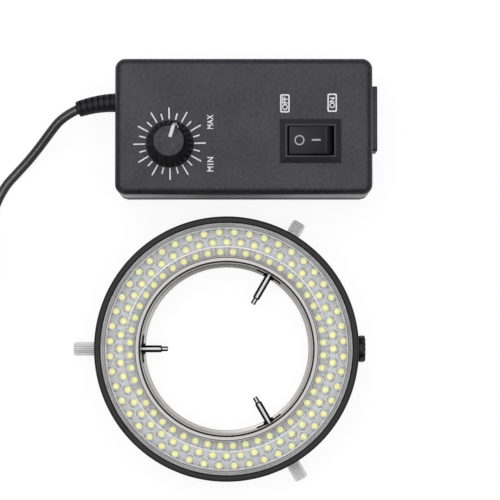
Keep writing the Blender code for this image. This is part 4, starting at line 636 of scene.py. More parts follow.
Finish = (MouldedPlastic | TurnedMetal | PlainMetal | OiledSteelPaintedHighlight | SolderMask | ClearEpoxy | Phosphor | ClearSheet
          | PrintInk | SoftVinyl)


class Paintshop:
    """Keeps one material for each finish."""

    made: dict[str, bpy.types.Material] = {}

    @classmethod
    def get(cls, finish: Finish) -> bpy.types.Material:
        """Gives a finish's material.

        Args:
            finish: the finish.

        Returns:
            Its material, made when it is first asked for.
        """
        if finish.name not in cls.made:
            cls.made[finish.name] = finish.make()
        return cls.made[finish.name]


RING_AXIS = tuple(RING_CENTRE)
HOUSING_BLACK = MouldedPlastic("housing_black", (0.0130, 0.0120, 0.0140), 0.42, 0.00022, 0.000010, 0.28)
JACK_BLACK = MouldedPlastic("jack_black", (0.0055, 0.0055, 0.0060), 0.32, 0.00025, 0.000012, 0.35)
CASE_BLACK = MouldedPlastic("case_black", (0.0165, 0.0142, 0.0225), 0.46, 0.00040, 0.00009, 0.50, 0.6)
CASE_SIDE = MouldedPlastic("case_side", (0.0165, 0.0142, 0.0200), 0.30, 0.00040, 0.00002, 0.7)
# The next finish is a darker copy of the case plastic with little gloss: painted shade along the bottom of the box's
# walls.
CASE_FOOT_SHADE = MouldedPlastic("case_foot_shade", (0.0130, 0.0115, 0.0160), 0.45, 0.00040, 0.00002, 0.1)
BEZEL_BLACK = MouldedPlastic("bezel_black", (0.0200, 0.0188, 0.0240), 0.44, 0.00024, 0.000014, 0.42)
ROCKER_BLACK = MouldedPlastic("rocker_black", (0.0070, 0.0062, 0.0095), 0.38, 0.00022, 0.000012, 0.27)
# The knob's side takes a much darker copy of its plastic than its top face: painted shade on the side.
KNOB_BLACK = MouldedPlastic("knob_black", (0.0034, 0.0034, 0.0048), 0.48, 0.00030, 0.000008, 0.18)
KNOB_FACE = MouldedPlastic("knob_face", (0.0185, 0.0165, 0.0235), 0.48, 0.00060, 0.00009, 0.52, 0.8)
BOOT_BLACK = MouldedPlastic("boot_black", (0.0140, 0.0140, 0.0175), 0.50, 0.00040, 0.000020, 0.3)
# The collar's turned metal comes in three copies: a darker one for the lip and outside, a lighter one for the bore
# wall as painted light, and a near-black one as painted shade in the groove and on the bore beside the screws.
COLLAR_METAL = TurnedMetal("collar_metal", (0.33, 0.325, 0.32), 0.18, RING_AXIS)
BORE_LIT_METAL = TurnedMetal("bore_painted_light", (0.56, 0.55, 0.54), 0.24, RING_AXIS)
COLLAR_SHADE_METAL = TurnedMetal("collar_painted_shade", (0.010, 0.009, 0.010), 0.45, RING_AXIS)
HEAD_METAL = PlainMetal("head_metal", (0.97, 0.97, 0.97), 0.40, 0.4, 0.20)
# The next finish is a darker copy of the head's metal: painted shade in the knurl grooves.
HEAD_GROOVE_SHADE = PlainMetal("head_groove_shade", (0.34, 0.34, 0.34), 0.50, 0.3, 0.3)
SHANK_METAL = OiledSteelPaintedHighlight("shank_metal", 0.36, 0.018, 0.16)
SCREW_METAL = PlainMetal("screw_metal", (0.30, 0.30, 0.31), 0.32)
NICKEL_METAL = PlainMetal("nickel_metal", (0.72, 0.70, 0.66), 0.22)
BRASS_METAL = PlainMetal("brass_metal", (0.72, 0.55, 0.25), 0.30)
COPPER_METAL = PlainMetal("copper_metal", (0.72, 0.38, 0.20), 0.34)
RING_BOARD = SolderMask("ring_board", (0.86, 0.91, 0.95), (0.94, 0.96, 0.98))
DRIVER_GREEN = SolderMask("driver_green", (0.03, 0.15, 0.07), (0.06, 0.26, 0.11))
# The lenses glow faintly though the lamps are off: painted light.
LAMP_LENS = ClearEpoxy("lamp_lens", (0.97, 0.98, 0.97), 0.88, 0.038)
# The phosphor glows though the lamps are off: painted light that brightens the yellow dots.
LAMP_PHOSPHOR = Phosphor("lamp_phosphor", (0.96, 0.94, 0.37), 0.41)
LAMP_CUP = MouldedPlastic("lamp_cup", (0.90, 0.90, 0.80), 0.45, 0.0002, 0.000005, 0.4, 0.06)
BOARD_INK = PrintInk("board_ink", (0.74, 0.74, 0.71), (0.84, 0.85, 0.84))
# This near-black finish is painted shade at the lamps' feet, made as ink.
FOOT_SHADE = PrintInk("foot_shade", (0.016, 0.014, 0.012), (0.05, 0.045, 0.04))
# This white finish is a painted highlight: the crescent on the outer side of each lamp's foot, made as ink.
FOOT_HIGHLIGHT = PrintInk("foot_painted_highlight", (0.93, 0.93, 0.90), (0.88, 0.89, 0.88))
FOOT_PRINT_AND_PAINTED_LIGHT = [RING_BOARD, BOARD_INK, FOOT_SHADE, FOOT_HIGHLIGHT]
WHITE_INK = PrintInk("white_ink", (0.97, 0.97, 0.96), (0.80, 0.80, 0.81))
MARK_INK = PrintInk("mark_ink", (0.52, 0.52, 0.60), (0.30, 0.30, 0.34))
POINTER_INK = PrintInk("pointer_ink", (0.84, 0.86, 0.92), (0.66, 0.68, 0.74))
LEAD_VINYL = SoftVinyl("lead_vinyl", (0.030, 0.030, 0.033), (0.30, 0.30, 0.31))
# The rings by radius, each with its opacity and grey: the darker ring at the inner edge is painted shade, and near the
# rim the pale rings are painted highlights and the dark rings painted shade of the cover's edge.
COVER_STOPS = (
    (0.0332, 0.60, 0.30), (0.0335, 0.40, 0.42), (0.0337, 0.02, 0.97), (0.0430, 0.05, 0.97), (0.0434, 0.45, 0.92),
    (0.0437, 0.45, 0.88), (0.04389, 0.72, 0.17), (0.0441, 0.60, 0.50), (0.0443, 0.60, 0.52), (0.04457, 0.74, 0.17),
    (0.0448, 0.66, 0.52), (0.0451, 0.74, 0.56), (0.0453, 0.70, 0.30),
)
# Painted highlights: the first two make the moulding line white and fade it round the ring, and the last two are
# bright streaks near the rim.
COVER_HIGHLIGHTS = (
    (0.03672, 0.00030, 1.00, 93.0, 78.0), (0.03690, 0.00026, 0.95, 262.0, 62.0), (0.04325, 0.00022, 0.80, 300.0, 33.0),
    (0.04335, 0.00018, 0.55, 95.0, 24.0),
)
COVER_CLEAR = ClearSheet("cover_clear", RING_AXIS, 0.0325, 0.0455, COVER_STOPS, COVER_HIGHLIGHTS)


class Bench:
    """The modelling steps that the pieces are made with, by Blender's own operators."""

    @staticmethod
    def put_down() -> None:
        """Goes to object mode with nothing selected."""
        if bpy.context.object is not None and bpy.context.object.mode != "OBJECT":
            bpy.ops.object.mode_set(mode="OBJECT")
        bpy.ops.object.select_all(action="DESELECT")

    @classmethod
    def pick_up(cls, piece: bpy.types.Object) -> None:
        """Makes one object the only selected and the active one.

        Args:
            piece: the object.
        """
        cls.put_down()
        piece.select_set(True)
        bpy.context.view_layer.objects.active = piece

    @classmethod
    def edit(cls, piece: bpy.types.Object, kind: str = "VERT") -> bmesh.types.BMesh:
        """Goes to edit mode with nothing selected.

        Args:
            piece: the object to edit.
            kind: what is selected, VERT, EDGE or FACE.

        Returns:
            The mesh being edited.
        """
        cls.pick_up(piece)
        bpy.ops.object.mode_set(mode="EDIT")
        bpy.ops.mesh.select_mode(type=kind)
        bpy.ops.mesh.select_all(action="DESELECT")
        return bmesh.from_edit_mesh(piece.data)

    @staticmethod
    def choose(shape: bmesh.types.BMesh, items: list) -> None:
        """Selects parts of the mesh being edited, and nothing else.

        Args:
            shape: the mesh being edited.
            items: the vertices, edges or faces.
        """
        bpy.ops.mesh.select_all(action="DESELECT")
        for item in items:
            item.select = True
        shape.select_flush_mode()
        bmesh.update_edit_mesh(bpy.context.object.data)

    @classmethod
    def named(cls, name: str) -> bpy.types.Object:
        """Names the object that an operator has just added.

        Args:
            name: the name for the object and its mesh.

        Returns:
            The object.
        """
        made = bpy.context.object
        made.name = name
        made.data.name = name
        return made

    @classmethod
    def trace(cls, name: str, outline: Profile, away: float = 0.0) -> bpy.types.Object:
        """Draws a line in X and Z, point by point, and stays in edit mode.

        Args:
            name: the piece's name.
            outline: the line's points.
            away: its place along Y.

        Returns:
            The open line, with its last point selected.
        """
        cls.put_down()
        bpy.ops.mesh.primitive_plane_add(size=MM)
        made = cls.named(name)
        bpy.ops.object.mode_set(mode="EDIT")
        bpy.ops.mesh.select_mode(type="VERT")
        bpy.ops.mesh.select_all(action="SELECT")
        bpy.ops.mesh.merge(type="CENTER")
        bpy.ops.transform.translate(value=(outline[0][0], away, outline[0][1]))
        for before, after in zip(outline, outline[1:]):
            step = (after[0] - before[0], 0.0, after[1] - before[1])
            bpy.ops.mesh.extrude_vertices_move(TRANSFORM_OT_translate={"value": step})
        return made

    @classmethod
    def lathe(cls, name: str, profile: Profile, steps: int, closed: bool = False) -> bpy.types.Object:
        """Draws a profile point by point and spins it round the Z axis.

        Args:
            name: the piece's name.
            profile: radius and height of each point.
            steps: how many stretches the full turn has.
            closed: whether the last point joins the first.

        Returns:
            The turned mesh.
        """
        made = cls.trace(name, profile)
        shape = bmesh.from_edit_mesh(made.data)
        if closed:
            shape.verts.ensure_lookup_table()
            cls.choose(shape, [v for v in shape.verts if len(v.link_edges) == 1])
            bpy.ops.mesh.edge_face_add()
        bpy.ops.mesh.select_all(action="SELECT")
        bpy.ops.mesh.spin(steps=steps, angle=2 * math.pi, center=(0, 0, 0), axis=(0, 0, 1), use_auto_merge=True)
        cls.tidy_mesh()
        return made

    @classmethod
    def tidy_mesh(cls) -> None:
        """Merges doubles, turns all faces outwards and leaves edit mode."""
        bpy.ops.mesh.select_all(action="SELECT")
        bpy.ops.mesh.remove_doubles(threshold=MERGE_DISTANCE)
        bpy.ops.mesh.normals_make_consistent(inside=False)
        bpy.ops.object.mode_set(mode="OBJECT")

    @classmethod
    def slab(cls, name: str, size: Point, corner: float = 0.0, top: float = 0.0, steps: int = 5) -> bpy.types.Object:
        """Makes a block that stands on zero, with its upright corners and its top edges rounded.

        Args:
            name: the piece's name.
            size: its extents.
            corner: the radius of the upright corners.
            top: the radius of the top edges.
            steps: how many facets each rounding has.

        Returns:
            The block.
        """
        cls.put_down()
        bpy.ops.mesh.primitive_cube_add(size=1.0)
        made = cls.named(name)
        made.data.transform(Matrix.LocRotScale(Vector((0, 0, size[2] / 2)), None, Vector(size)))
        shape = cls.edit(made, "EDGE")
        if corner:
            upright = [e for e in shape.edges if abs(e.verts[0].co.z - e.verts[1].co.z) > size[2] / 2]
            cls.choose(shape, upright)
            bpy.ops.mesh.bevel(offset=corner, segments=2 * steps, affect="EDGES")
        if top:
            cls.choose(shape, [e for e in shape.edges if all(abs(v.co.z - size[2]) < HAIRLINE for v in e.verts)])
            bpy.ops.mesh.bevel(offset=top, segments=steps, affect="EDGES")
        cls.tidy_mesh()
        return made

    @classmethod
    def stack(cls, name: str, levels: list[Point]) -> bpy.types.Object:
        """Extrudes a rectangle through levels of its own, closed at both ends.

        Args:
            name: the piece's name.
            levels: the length, width and height of each level.

        Returns:
            The stacked mesh.
        """
        cls.put_down()
        bpy.ops.mesh.primitive_plane_add(size=1.0)
        made = cls.named(name)
        long, wide, level = levels[0]
        made.data.transform(Matrix.LocRotScale(Vector((0, 0, level)), None, Vector((long, wide, 1.0))))
        cls.edit(made, "FACE")
        bpy.ops.mesh.select_all(action="SELECT")
        for before, after in zip(levels, levels[1:]):
            bpy.ops.mesh.extrude_region_move(TRANSFORM_OT_translate={"value": (0.0, 0.0, after[2] - before[2])})
            bpy.ops.transform.resize(value=(after[0] / before[0], after[1] / before[1], 1.0),
                                     center_override=(0.0, 0.0, after[2]))
        cls.tidy_mesh()
        return made

    @classmethod
    def rod(cls, name: str, radius: float, length: float, sides: int = 48) -> bpy.types.Object:
        """Makes a plain rod that stands on zero, used as a cutting tool.

        Args:
            name: the rod's name.
            radius: its radius.
            length: its length.
            sides: how many sides it has.

        Returns:
            The rod.
        """
        cls.put_down()
        bpy.ops.mesh.primitive_cylinder_add(vertices=sides, radius=radius, depth=length)
        made = cls.named(name)
        made.data.transform(Matrix.Translation((0, 0, length / 2)))
        return made

    @classmethod
    def extruded(cls, name: str, outline: list[tuple[float, float]], width: float) -> bpy.types.Object:
        """Draws an outline in X and Z, fills it and extrudes it along Y, centred.

        Args:
            name: the piece's name.
            outline: the outline's points.
            width: how far it reaches along Y.

        Returns:
            The extruded mesh.
        """
        made = cls.trace(name, outline, -width / 2)
        bpy.ops.mesh.select_all(action="SELECT")
        bpy.ops.mesh.edge_face_add()
        bpy.ops.mesh.extrude_region_move(TRANSFORM_OT_translate={"value": (0.0, width, 0.0)})
        cls.tidy_mesh()
        return made

    @staticmethod
    def move(piece: bpy.types.Object, matrix: Matrix) -> bpy.types.Object:
        """Moves a piece's mesh and leaves its object at the origin."""
        piece.data.transform(matrix)
        return piece

    @classmethod
    def combine(cls, piece: bpy.types.Object, tool: bpy.types.Object, place: Matrix,
                operation: str = "DIFFERENCE") -> None:
        """Cuts a tool out of a piece, or joins it to the piece, and discards the tool.

        Args:
            piece: the piece that stays.
            tool: the mesh that is cut out or joined.
            place: where the tool goes.
            operation: DIFFERENCE or UNION.
        """
        cls.move(tool, place)
        modifier = piece.modifiers.new("cut", "BOOLEAN")
        modifier.operation = operation
        modifier.solver = "EXACT"
        modifier.object = tool
        cls.pick_up(piece)
        bpy.ops.object.modifier_apply(modifier=modifier.name)
        bpy.data.objects.remove(tool, do_unlink=True)

    @classmethod
    def soften(cls, piece: bpy.types.Object, width: float, steps: int = 2, angle: float = 40.0) -> None:
        """Rounds a piece's sharp edges by a bevel modifier.

        Args:
            piece: the piece.
            width: the width of the rounding.
            steps: how many facets it has.
            angle: edges sharper than this are rounded, in degrees.
        """
        modifier = piece.modifiers.new("soften", "BEVEL")
        modifier.width = width
        modifier.segments = steps
        modifier.limit_method = "ANGLE"
        modifier.angle_limit = math.radians(angle)
        modifier.use_clamp_overlap = True
        cls.pick_up(piece)
        bpy.ops.object.modifier_apply(modifier=modifier.name)

    @classmethod
    def copies(cls, model: bpy.types.Object, places: list[Matrix]) -> bpy.types.Object:
        """Copies a model to each place, every copy with its own mesh, and joins them into the first.

        Args:
            model: the piece that repeats, at its own origin.
            places: where each one goes.

        Returns:
            The joined piece, under the model's name.
        """
        made = []
        for place in places:
            twin = model.copy()
            twin.data = model.data.copy()
            bpy.context.scene.collection.objects.link(twin)
            twin.data.transform(place)
            made.append(twin)
        name = model.name
        bpy.data.objects.remove(model, do_unlink=True)
        cls.join(made)
        made[0].name = name
        return made[0]

    @classmethod
    def join(cls, pieces: list[bpy.types.Object]) -> bpy.types.Object:
        """Joins pieces into the first of them.

        Args:
            pieces: the pieces.

        Returns:
            The first piece, with the others in it.
        """
        cls.pick_up(pieces[0])
        for piece in pieces[1:]:
            piece.select_set(True)
        bpy.ops.object.join()
        return pieces[0]

    @classmethod
    def words(cls, name: str, text: str, size: tuple[float, float], thickness: float, spacing: float = 1.0,
              weight: float = 0.0) -> bpy.types.Object:
        """Sets a word in raised print, centred, as a mesh.

        Args:
            name: the piece's name.
            text: what it says.
            size: the word's length and height.
            thickness: how far the print stands up.
            spacing: the distance between letters, 1 for the font's own.
            weight: how much bolder than the font, in metres.

        Returns:
            The word, standing on zero.
        """
        cls.put_down()
        bpy.ops.object.text_add()
        made = cls.named(name)
        made.data.body = text
        made.data.size = size[1] / CAPITAL_HEIGHT
        made.data.align_x = "CENTER"
        made.data.align_y = "CENTER"
        made.data.space_character = spacing
        made.data.offset = weight
        made.data.extrude = thickness / 2
        made.data.resolution_u = 4
        bpy.ops.object.convert(target="MESH")
        made = cls.named(name)
        low, high = (Vector(tuple(pick(v.co[k] for v in made.data.vertices) for k in range(3))) for pick in (min, max))
        fit = Vector((size[0] / (high.x - low.x), size[1] / (high.y - low.y), 1.0))
        cls.move(made, Matrix.Translation(-(low + high) / 2))
        return cls.move(made, Matrix.LocRotScale(Vector((0, 0, thickness / 2)), None, fit))

    @classmethod
    def finish(cls, piece: bpy.types.Object, finishes: Finish | list[Finish], slot: Slot,
               stands_for: tuple[str, ...] = (), angle: float = 32.0, body: Body = Body.ROOT) -> bpy.types.Object:
        """Shades and paints a piece, hangs it on its body and hides the nodes that it stands for.

        Args:
            piece: the finished mesh.
            finishes: its finish, or one for each material slot.
            slot: the record's slot for the piece; not used.
            stands_for: the CAD nodes that it replaces.
            angle: edges sharper than this stay sharp, in degrees.
            body: the body that it rides on.

        Returns:
            The piece.
        """
        cls.pick_up(piece)
        bpy.ops.object.shade_smooth_by_angle(angle=math.radians(angle))
        wanted = finishes if isinstance(finishes, list) else [finishes]
        while len(piece.data.materials) < len(wanted):
            piece.data.materials.append(None)
        for index, finish in enumerate(wanted):
            piece.data.materials[index] = Paintshop.get(finish)
        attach(piece, body.value)
        if stands_for:
            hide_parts(*stands_for)
        cls.put_down()
        LOG.info("%s: %d faces, rides on %s", piece.name, len(piece.data.polygons), body.value)
        return piece


def arc(centre: tuple[float, float], radius: float, start: float, end: float, count: int) -> Profile:
    """Gives points of an arc, with angles in degrees from outwards."""
    return [(centre[0] + radius * math.cos(t), centre[1] + radius * math.sin(t))
            for t in np.radians(np.linspace(start, end, count))]


def facet(point: Vector, sides: int) -> int:
    """Gives the number of the facet, of a full turn's sides, that a point is nearest to."""
    return round(math.atan2(point.y, point.x) / (2 * math.pi) * sides)


def about_ring(angle: float, reach: float = 0.0, height: float = 0.0) -> Matrix:
    """Gives the place at an angle round the ring's axis, its own X pointing outwards."""
    return (Matrix.Translation(RING_CENTRE) @ Matrix.Rotation(math.radians(angle), 4, "Z")
            @ Matrix.Translation((reach, 0.0, height)))


def on_box(x: float, y: float, z: float) -> Matrix:
    """Gives a place from the dimmer box's centre."""
    return Matrix.Translation(BOX_CENTRE + Vector((x, y, z)))


LAY_ALONG_X = Matrix.Rotation(math.pi / 2, 4, "Y")
MM_DOWN = Matrix.Translation((0, 0, -MM))


@dataclass
class Studio:
    """The table, the light and the camera.

    Attributes:
        sky: the room's grey from straight above, at 0, to the horizon, at 1.
        dusk: the Y ways between which the room's near side dims, and its share there.
        table_shade: the table's colour by the light it throws back, and as the camera sees it.
    """

    eye: Point = (0.00917, -0.02716, 0.9000)
    tilt: float = 2.29
    lens: float = 176.6
    sensor: float = 36.0
    stretch: Point = (1.08, 1.10, 0.0)
    sky: tuple[tuple[float, float], ...] = ((0.0, 1.0), (0.40, 0.92), (0.58, 0.62), (0.76, 0.24), (0.95, 0.10))
    dusk: Point = (-0.75, -0.25, 0.12)
    level: float = 2.1
    table: float = 0.45
    table_shade: tuple[Colour, Colour] = ((0.80, 0.80, 0.80), (0.16, 0.16, 0.16))
    table_glow: tuple[float, float] = (0.89, 0.25)
    softbox: Point = (-0.30, 0.60, 1.25)
    softbox_size: float = 0.6
    softbox_watts: float = 1.3

    def camera(self) -> None:
        """Adds the camera over the ring head."""
        Bench.put_down()
        bpy.ops.object.camera_add(location=self.eye, rotation=(math.radians(self.tilt), 0.0, 0.0))
        made = bpy.context.object
        made.name = "camera"
        made.data.lens = self.lens
        made.data.sensor_width = self.sensor
        made.data.clip_start = 10 * MM
        bpy.context.scene.camera = made

    def lamp(self, name: str, place: Point, target: Point, size: float, watts: float) -> None:
        """Adds a square soft light.

        Args:
            name: the light's name.
            place: where it is.
            target: the point that it faces.
            size: the length of its side.
            watts: its power.
        """
        Bench.put_down()
        bpy.ops.object.light_add(type="AREA", location=place)
        made = bpy.context.object
        made.name = name
        made.data.name = name
        made.data.size = size
        made.data.energy = watts
        made.rotation_euler = (Vector(target) - Vector(place)).to_track_quat("-Z", "Y").to_euler()

    def floor(self) -> None:
        """Lays the pale table, which the camera sees as white with a faint shadow."""
        Bench.put_down()
        bpy.ops.mesh.primitive_circle_add(vertices=96, radius=self.table, fill_type="NGON",
                                          location=(0.0, 0.0, -0.0002))
        made = Bench.named("table_top")
        tree = NodeTree("table_white")
        tree.fix(Roughness=0.9, Specular_IOR_Level=0.0, Emission_Color=(1.0, 1.0, 1.0, 1.0))
        path = tree.add("ShaderNodeLightPath").outputs
        seen = tree.math("MAXIMUM", path["Is Camera Ray"], path["Is Transmission Ray"])
        tree.feed(Base_Color=tree.blend(seen, *self.table_shade))
        direct, mirrored = self.table_glow
        glow = tree.math("ADD", tree.math("MULTIPLY", seen, direct),
                         tree.math("MULTIPLY", path["Is Glossy Ray"], mirrored))
        tree.feed(Emission_Strength=glow)
        made.data.materials.append(tree.owner)

    def world(self) -> None:
        """Sets a soft room, bright above and dim at its sides."""
        tree = NodeTree("soft_room", room=True)
        away = tree.vector("LENGTH", tree.vector("MULTIPLY", tree.place, self.stretch).outputs["Vector"])
        ramp = tree.ramp(away.outputs["Value"], self.sky)
        parts = tree.add("ShaderNodeSeparateXYZ")
        tree.link(tree.place, parts, 0)
        dusk = tree.add("ShaderNodeMapRange")
        for socket, value in zip(("From Min", "From Max", "To Min"), self.dusk):
            dusk.inputs[socket].default_value = value
        tree.link(parts.outputs["Y"], dusk, "Value")
        dim = tree.vector("SCALE", ramp)
        tree.link(dusk.outputs["Result"], dim, "Scale")
        path = tree.add("ShaderNodeLightPath").outputs
        seen = tree.math("MAXIMUM", path["Is Camera Ray"], path["Is Transmission Ray"])
        white = 1 / self.level
        mix = tree.add("ShaderNodeMix", data_type="RGBA")
        mix.inputs[7].default_value = (white, white, white, 1.0)
        tree.link(seen, mix, 0)
        tree.link(dim.outputs["Vector"], mix, 6)
        tree.feed(Color=mix.outputs[2])
        tree.fix(Strength=self.level)
        bpy.context.scene.world = tree.owner

    def build(self) -> None:
        """Sets up the whole studio."""
        self.camera()
        self.floor()
        self.world()
        self.lamp("back_softbox", self.softbox, (0.0, 0.0, 0.0), self.softbox_size, self.softbox_watts)
        bpy.context.scene.view_settings.view_transform = "Standard"


@dataclass
class OutputLead:
    """The twin lead from the dimmer box, its coil and its plug.

    Attributes:
        end_slope: how much steeper than its mean slope the strain relief ends.
        route: the free stretch's points as offsets from start in plan, with heights.
    """

    radius: float = 0.00172
    dip: float = 0.82
    sides: int = 20
    spacing: float = 0.0018
    gap: float = 0.0003
    start: Point = (-0.05305, 0.059174, 0.0148)
    end_slope: float = 1.95
    route: tuple[Point, ...] = (
        (-0.0034, -0.0017, 0.0140), (-0.0065, -0.0038, 0.0128), (-0.0088, -0.0061, 0.0113),
        (-0.0117, -0.0095, 0.0089), (-0.0149, -0.0133, 0.0063), (-0.0187, -0.0176, 0.0039),
        (-0.0229, -0.0220, 0.0023), (-0.0272, -0.0268, 0.00175), (-0.0306, -0.0330, 0.00175),
        (-0.0328, -0.0400, 0.00175), (-0.0335, -0.0470, 0.00175),
    )
    tail: tuple[Point, ...] = (
        (0.0, 0.0060, 0.0128), (0.0, 0.0130, 0.0098), (0.0, 0.0200, 0.0068), (0.0, 0.0270, 0.0053),
        (0.0, 0.0330, 0.0050),
    )
    turns: float = 7.5
    layers: int = 4
    middle: float = 0.0190
    coil_gap: float = 0.00052
    straight: float = 0.0036
    climb: float = 0.5
    loop_points: int = 48
    plug_boot: float = 0.0080
    boot_ribs: int = 5
    rib_pitch: float = 0.0015
    grip_rings: int = 9
    ring_pitch: float = 0.0012
    plug_length: float = 0.0250
    plug_radius: float = 0.0048
    barrel_length: float = 0.0095
    barrel_radius: float = 0.0030

    def coil(self) -> list[Vector]:
        """Gives the coil's middle line, in and out again once each layer.

        Returns:
            Its points, with a straight stretch at each end.
        """
        pitch = 2 * self.radius + self.coil_gap
        per_layer = self.turns / self.layers
        entry = Vector(self.start) + Vector((self.route[-1][0], self.route[-1][1], 0.0))
        outer = self.middle + per_layer * pitch / 2
        centre = Vector((entry.x - outer, entry.y - self.straight, self.route[-1][2]))
        points = [centre + Vector((outer, self.straight, 0.0))]
        for number in range(round(self.turns * self.loop_points) + 1):
            turn = number / self.loop_points
            phase = turn / per_layer % 2
            share = phase if phase <= 1 else 2 - phase
            reach = outer - per_layer * pitch * share
            level = 0.0
            for layer in range(1, self.layers):
                step = min(1.0, max(0.0, (turn - layer * per_layer) / self.climb + 0.5))
                level += step * step * (3 - 2 * step)
            angle = -2 * math.pi * turn
            points.append(centre + Vector((reach * math.cos(angle), reach * math.sin(angle), level * pitch)))
        points.append(points[-1] + Vector((0.0, self.straight, 0.0)))
        return points

    def onward(self) -> Vector:
        """Gives the direction in which the strain relief ends."""
        return Vector((-RELIEF_LENGTH, -RELIEF_DROP * self.end_slope, -RELIEF_SAG * self.end_slope)).normalized()

    def line(self) -> list[Vector]:
        """Gives the lead's whole middle line, evenly spaced.

        Returns:
            Its points from the strain relief to the plug.
        """
        start = Vector(self.start)
        plan = Vector((start.x, start.y, 0.0))
        coil = self.coil()
        end = coil[-1]
        tail_plan = Vector((end.x, end.y + self.gap, 0.0))
        route = [start + self.onward() * self.gap, *(plan + Vector(p) for p in self.route[:-1]), *coil,
                 *(tail_plan + Vector(p) for p in self.tail)]
        ends = [2 * route[0] - route[1], *route, 2 * route[-1] - route[-2]]
        fine = []
        for before, a, b, after in zip(ends, ends[1:], ends[2:], ends[3:]):
            for share in np.linspace(0.0, 1.0, 8, endpoint=False):
                fine.append(0.5 * ((2 * a) + (b - before) * share + (2 * before - 5 * a + 4 * b - after) * share ** 2
                                   + (3 * a - before - 3 * b + after) * share ** 3))
        fine.append(route[-1])
        track = np.array(fine)
        along = np.concatenate([[0], np.cumsum(np.linalg.norm(np.diff(track, axis=0), axis=1))])
        at = np.linspace(0, along[-1], round(along[-1] / self.spacing) + 1)
        return [Vector([np.interp(s, along, track[:, k]) for k in range(3)]) for s in at]

    def section(self) -> Profile:
        """Gives the lead's section, round with a groove between its two cores above and below.

        Returns:
            Its points.
        """
        points = []
        for number in range(self.sides):
            angle = math.pi / 2 + 2 * math.pi * number / self.sides
            dip = self.dip if number % (self.sides // 2) == 0 else 1.0
            points.append((self.radius * dip * math.cos(angle), self.radius * dip * math.sin(angle)))
        return points

    def sweep(self, line: list[Vector]) -> bpy.types.Object:
        """Sweeps the section along the line, with its groove kept up, and maps it.

        Args:
            line: the middle line.

        Returns:
            The closed tube with a UV map that runs along and round it.
        """
        section = self.section()
        sides = self.sides
        verts: list[Vector] = []
        for index, point in enumerate(line):
            ahead = line[min(index + 1, len(line) - 1)]
            behind = line[max(index - 1, 0)]
            along = (ahead - behind).normalized()
            side = Vector((0, 0, 1)).cross(along).normalized()
            up = along.cross(side)
            verts += [point + side * x + up * y for x, y in section]
        faces = [(r * sides + s, r * sides + (s + 1) % sides, (r + 1) * sides + (s + 1) % sides,
                  (r + 1) * sides + s) for r in range(len(line) - 1) for s in range(sides)]
        last = (len(line) - 1) * sides
        faces.append(tuple(reversed(range(sides))))
        faces.append(tuple(last + s for s in range(sides)))
        mesh = bpy.data.meshes.new("output_lead_twin")
        mesh.from_pydata([tuple(v) for v in verts], [], faces)
        made = bpy.data.objects.new("output_lead_twin", mesh)
        bpy.context.scene.collection.objects.link(made)
        layer = mesh.uv_layers.new(name="lead")
        for face in mesh.polygons:
            for corner, loop in enumerate(face.loop_indices):
                vert = mesh.loops[loop].vertex_index
                row, place = divmod(vert, sides)
                wraps = face.index < len(faces) - 2 and place == 0 and corner in (1, 2)
                layer.data[loop].uv = (row / len(line), 1.0 if wraps else place / sides)
        Bench.edit(made)
        bpy.ops.mesh.select_all(action="SELECT")
        bpy.ops.mesh.normals_make_consistent(inside=False)
        bpy.ops.object.mode_set(mode="OBJECT")
        return made

    def plug(self, end: Vector) -> list[bpy.types.Object]:
        """Makes the moulded plug with its ribbed boot, and its barrel.

        Args:
            end: the lead's last point.

        Returns:
            The plug's body and barrel.
        """
        place = Matrix.Translation(end + Vector((0, self.gap, 0))) @ Matrix.Rotation(-math.pi / 2, 4, "X")
        boot = self.plug_boot
        radius = self.plug_radius
        profile = [(0.0, 0.0), (0.0024, 0.0), (0.0026, 0.0003)]
        for rib in range(self.boot_ribs):
            foot = 0.0004 + rib * self.rib_pitch
            wide = 0.0026 + 0.00026 * rib
            profile += [(wide, foot), (wide, foot + 0.0008), (wide - 0.0005, foot + 0.0009),
                        (wide - 0.0005, foot + 0.0014)]
        profile += [(radius - 0.0010, boot)] + arc((radius - 0.0008, boot + 0.0008), 0.0008, -90, 0, 6)
        for ring in range(self.grip_rings):
            level = boot + 0.0034 + ring * self.ring_pitch
            profile += [(radius, level), (radius - 0.00018, level + 0.0003), (radius - 0.00018, level + 0.0005),
                        (radius, level + 0.0008)]
        profile += arc((radius - 0.0008, self.plug_length - 0.0008), 0.0008, 0, 90, 6)
        profile += [(0.0, self.plug_length)]
        body = Bench.move(Bench.lathe("plug_grip", profile, 48), place)
        Bench.finish(body, BOOT_BLACK, Slot.SOFT_PLASTIC, ("plug_body",))
        foot = self.plug_length + self.gap
        tip = foot + self.barrel_length
        wide = self.barrel_radius
        sleeve = [(0.0, foot), (wide, foot), (wide, foot + 0.0008), (0.00275, foot + 0.0009),
                  (0.00275, tip - 0.0003), (0.00255, tip), (0.00210, tip), (0.00205, tip - 0.0012),
                  (0.00135, tip - 0.0012), (0.00125, tip - 0.0003), (0.00120, tip - 0.0070), (0.0, tip - 0.0070)]
        barrel = Bench.move(Bench.lathe("plug_sleeve", sleeve, 48), place)
        Bench.finish(barrel, NICKEL_METAL, Slot.NICKEL, ("plug_barrel",))
        return [body, barrel]

    def build(self) -> None:
        line = self.line()
        lead = self.sweep(line)
        Bench.finish(lead, LEAD_VINYL, Slot.SOFT_PLASTIC, ("output_lead", "output_coil", "plug_lead"), 60.0)
        plug = self.plug(line[-1])


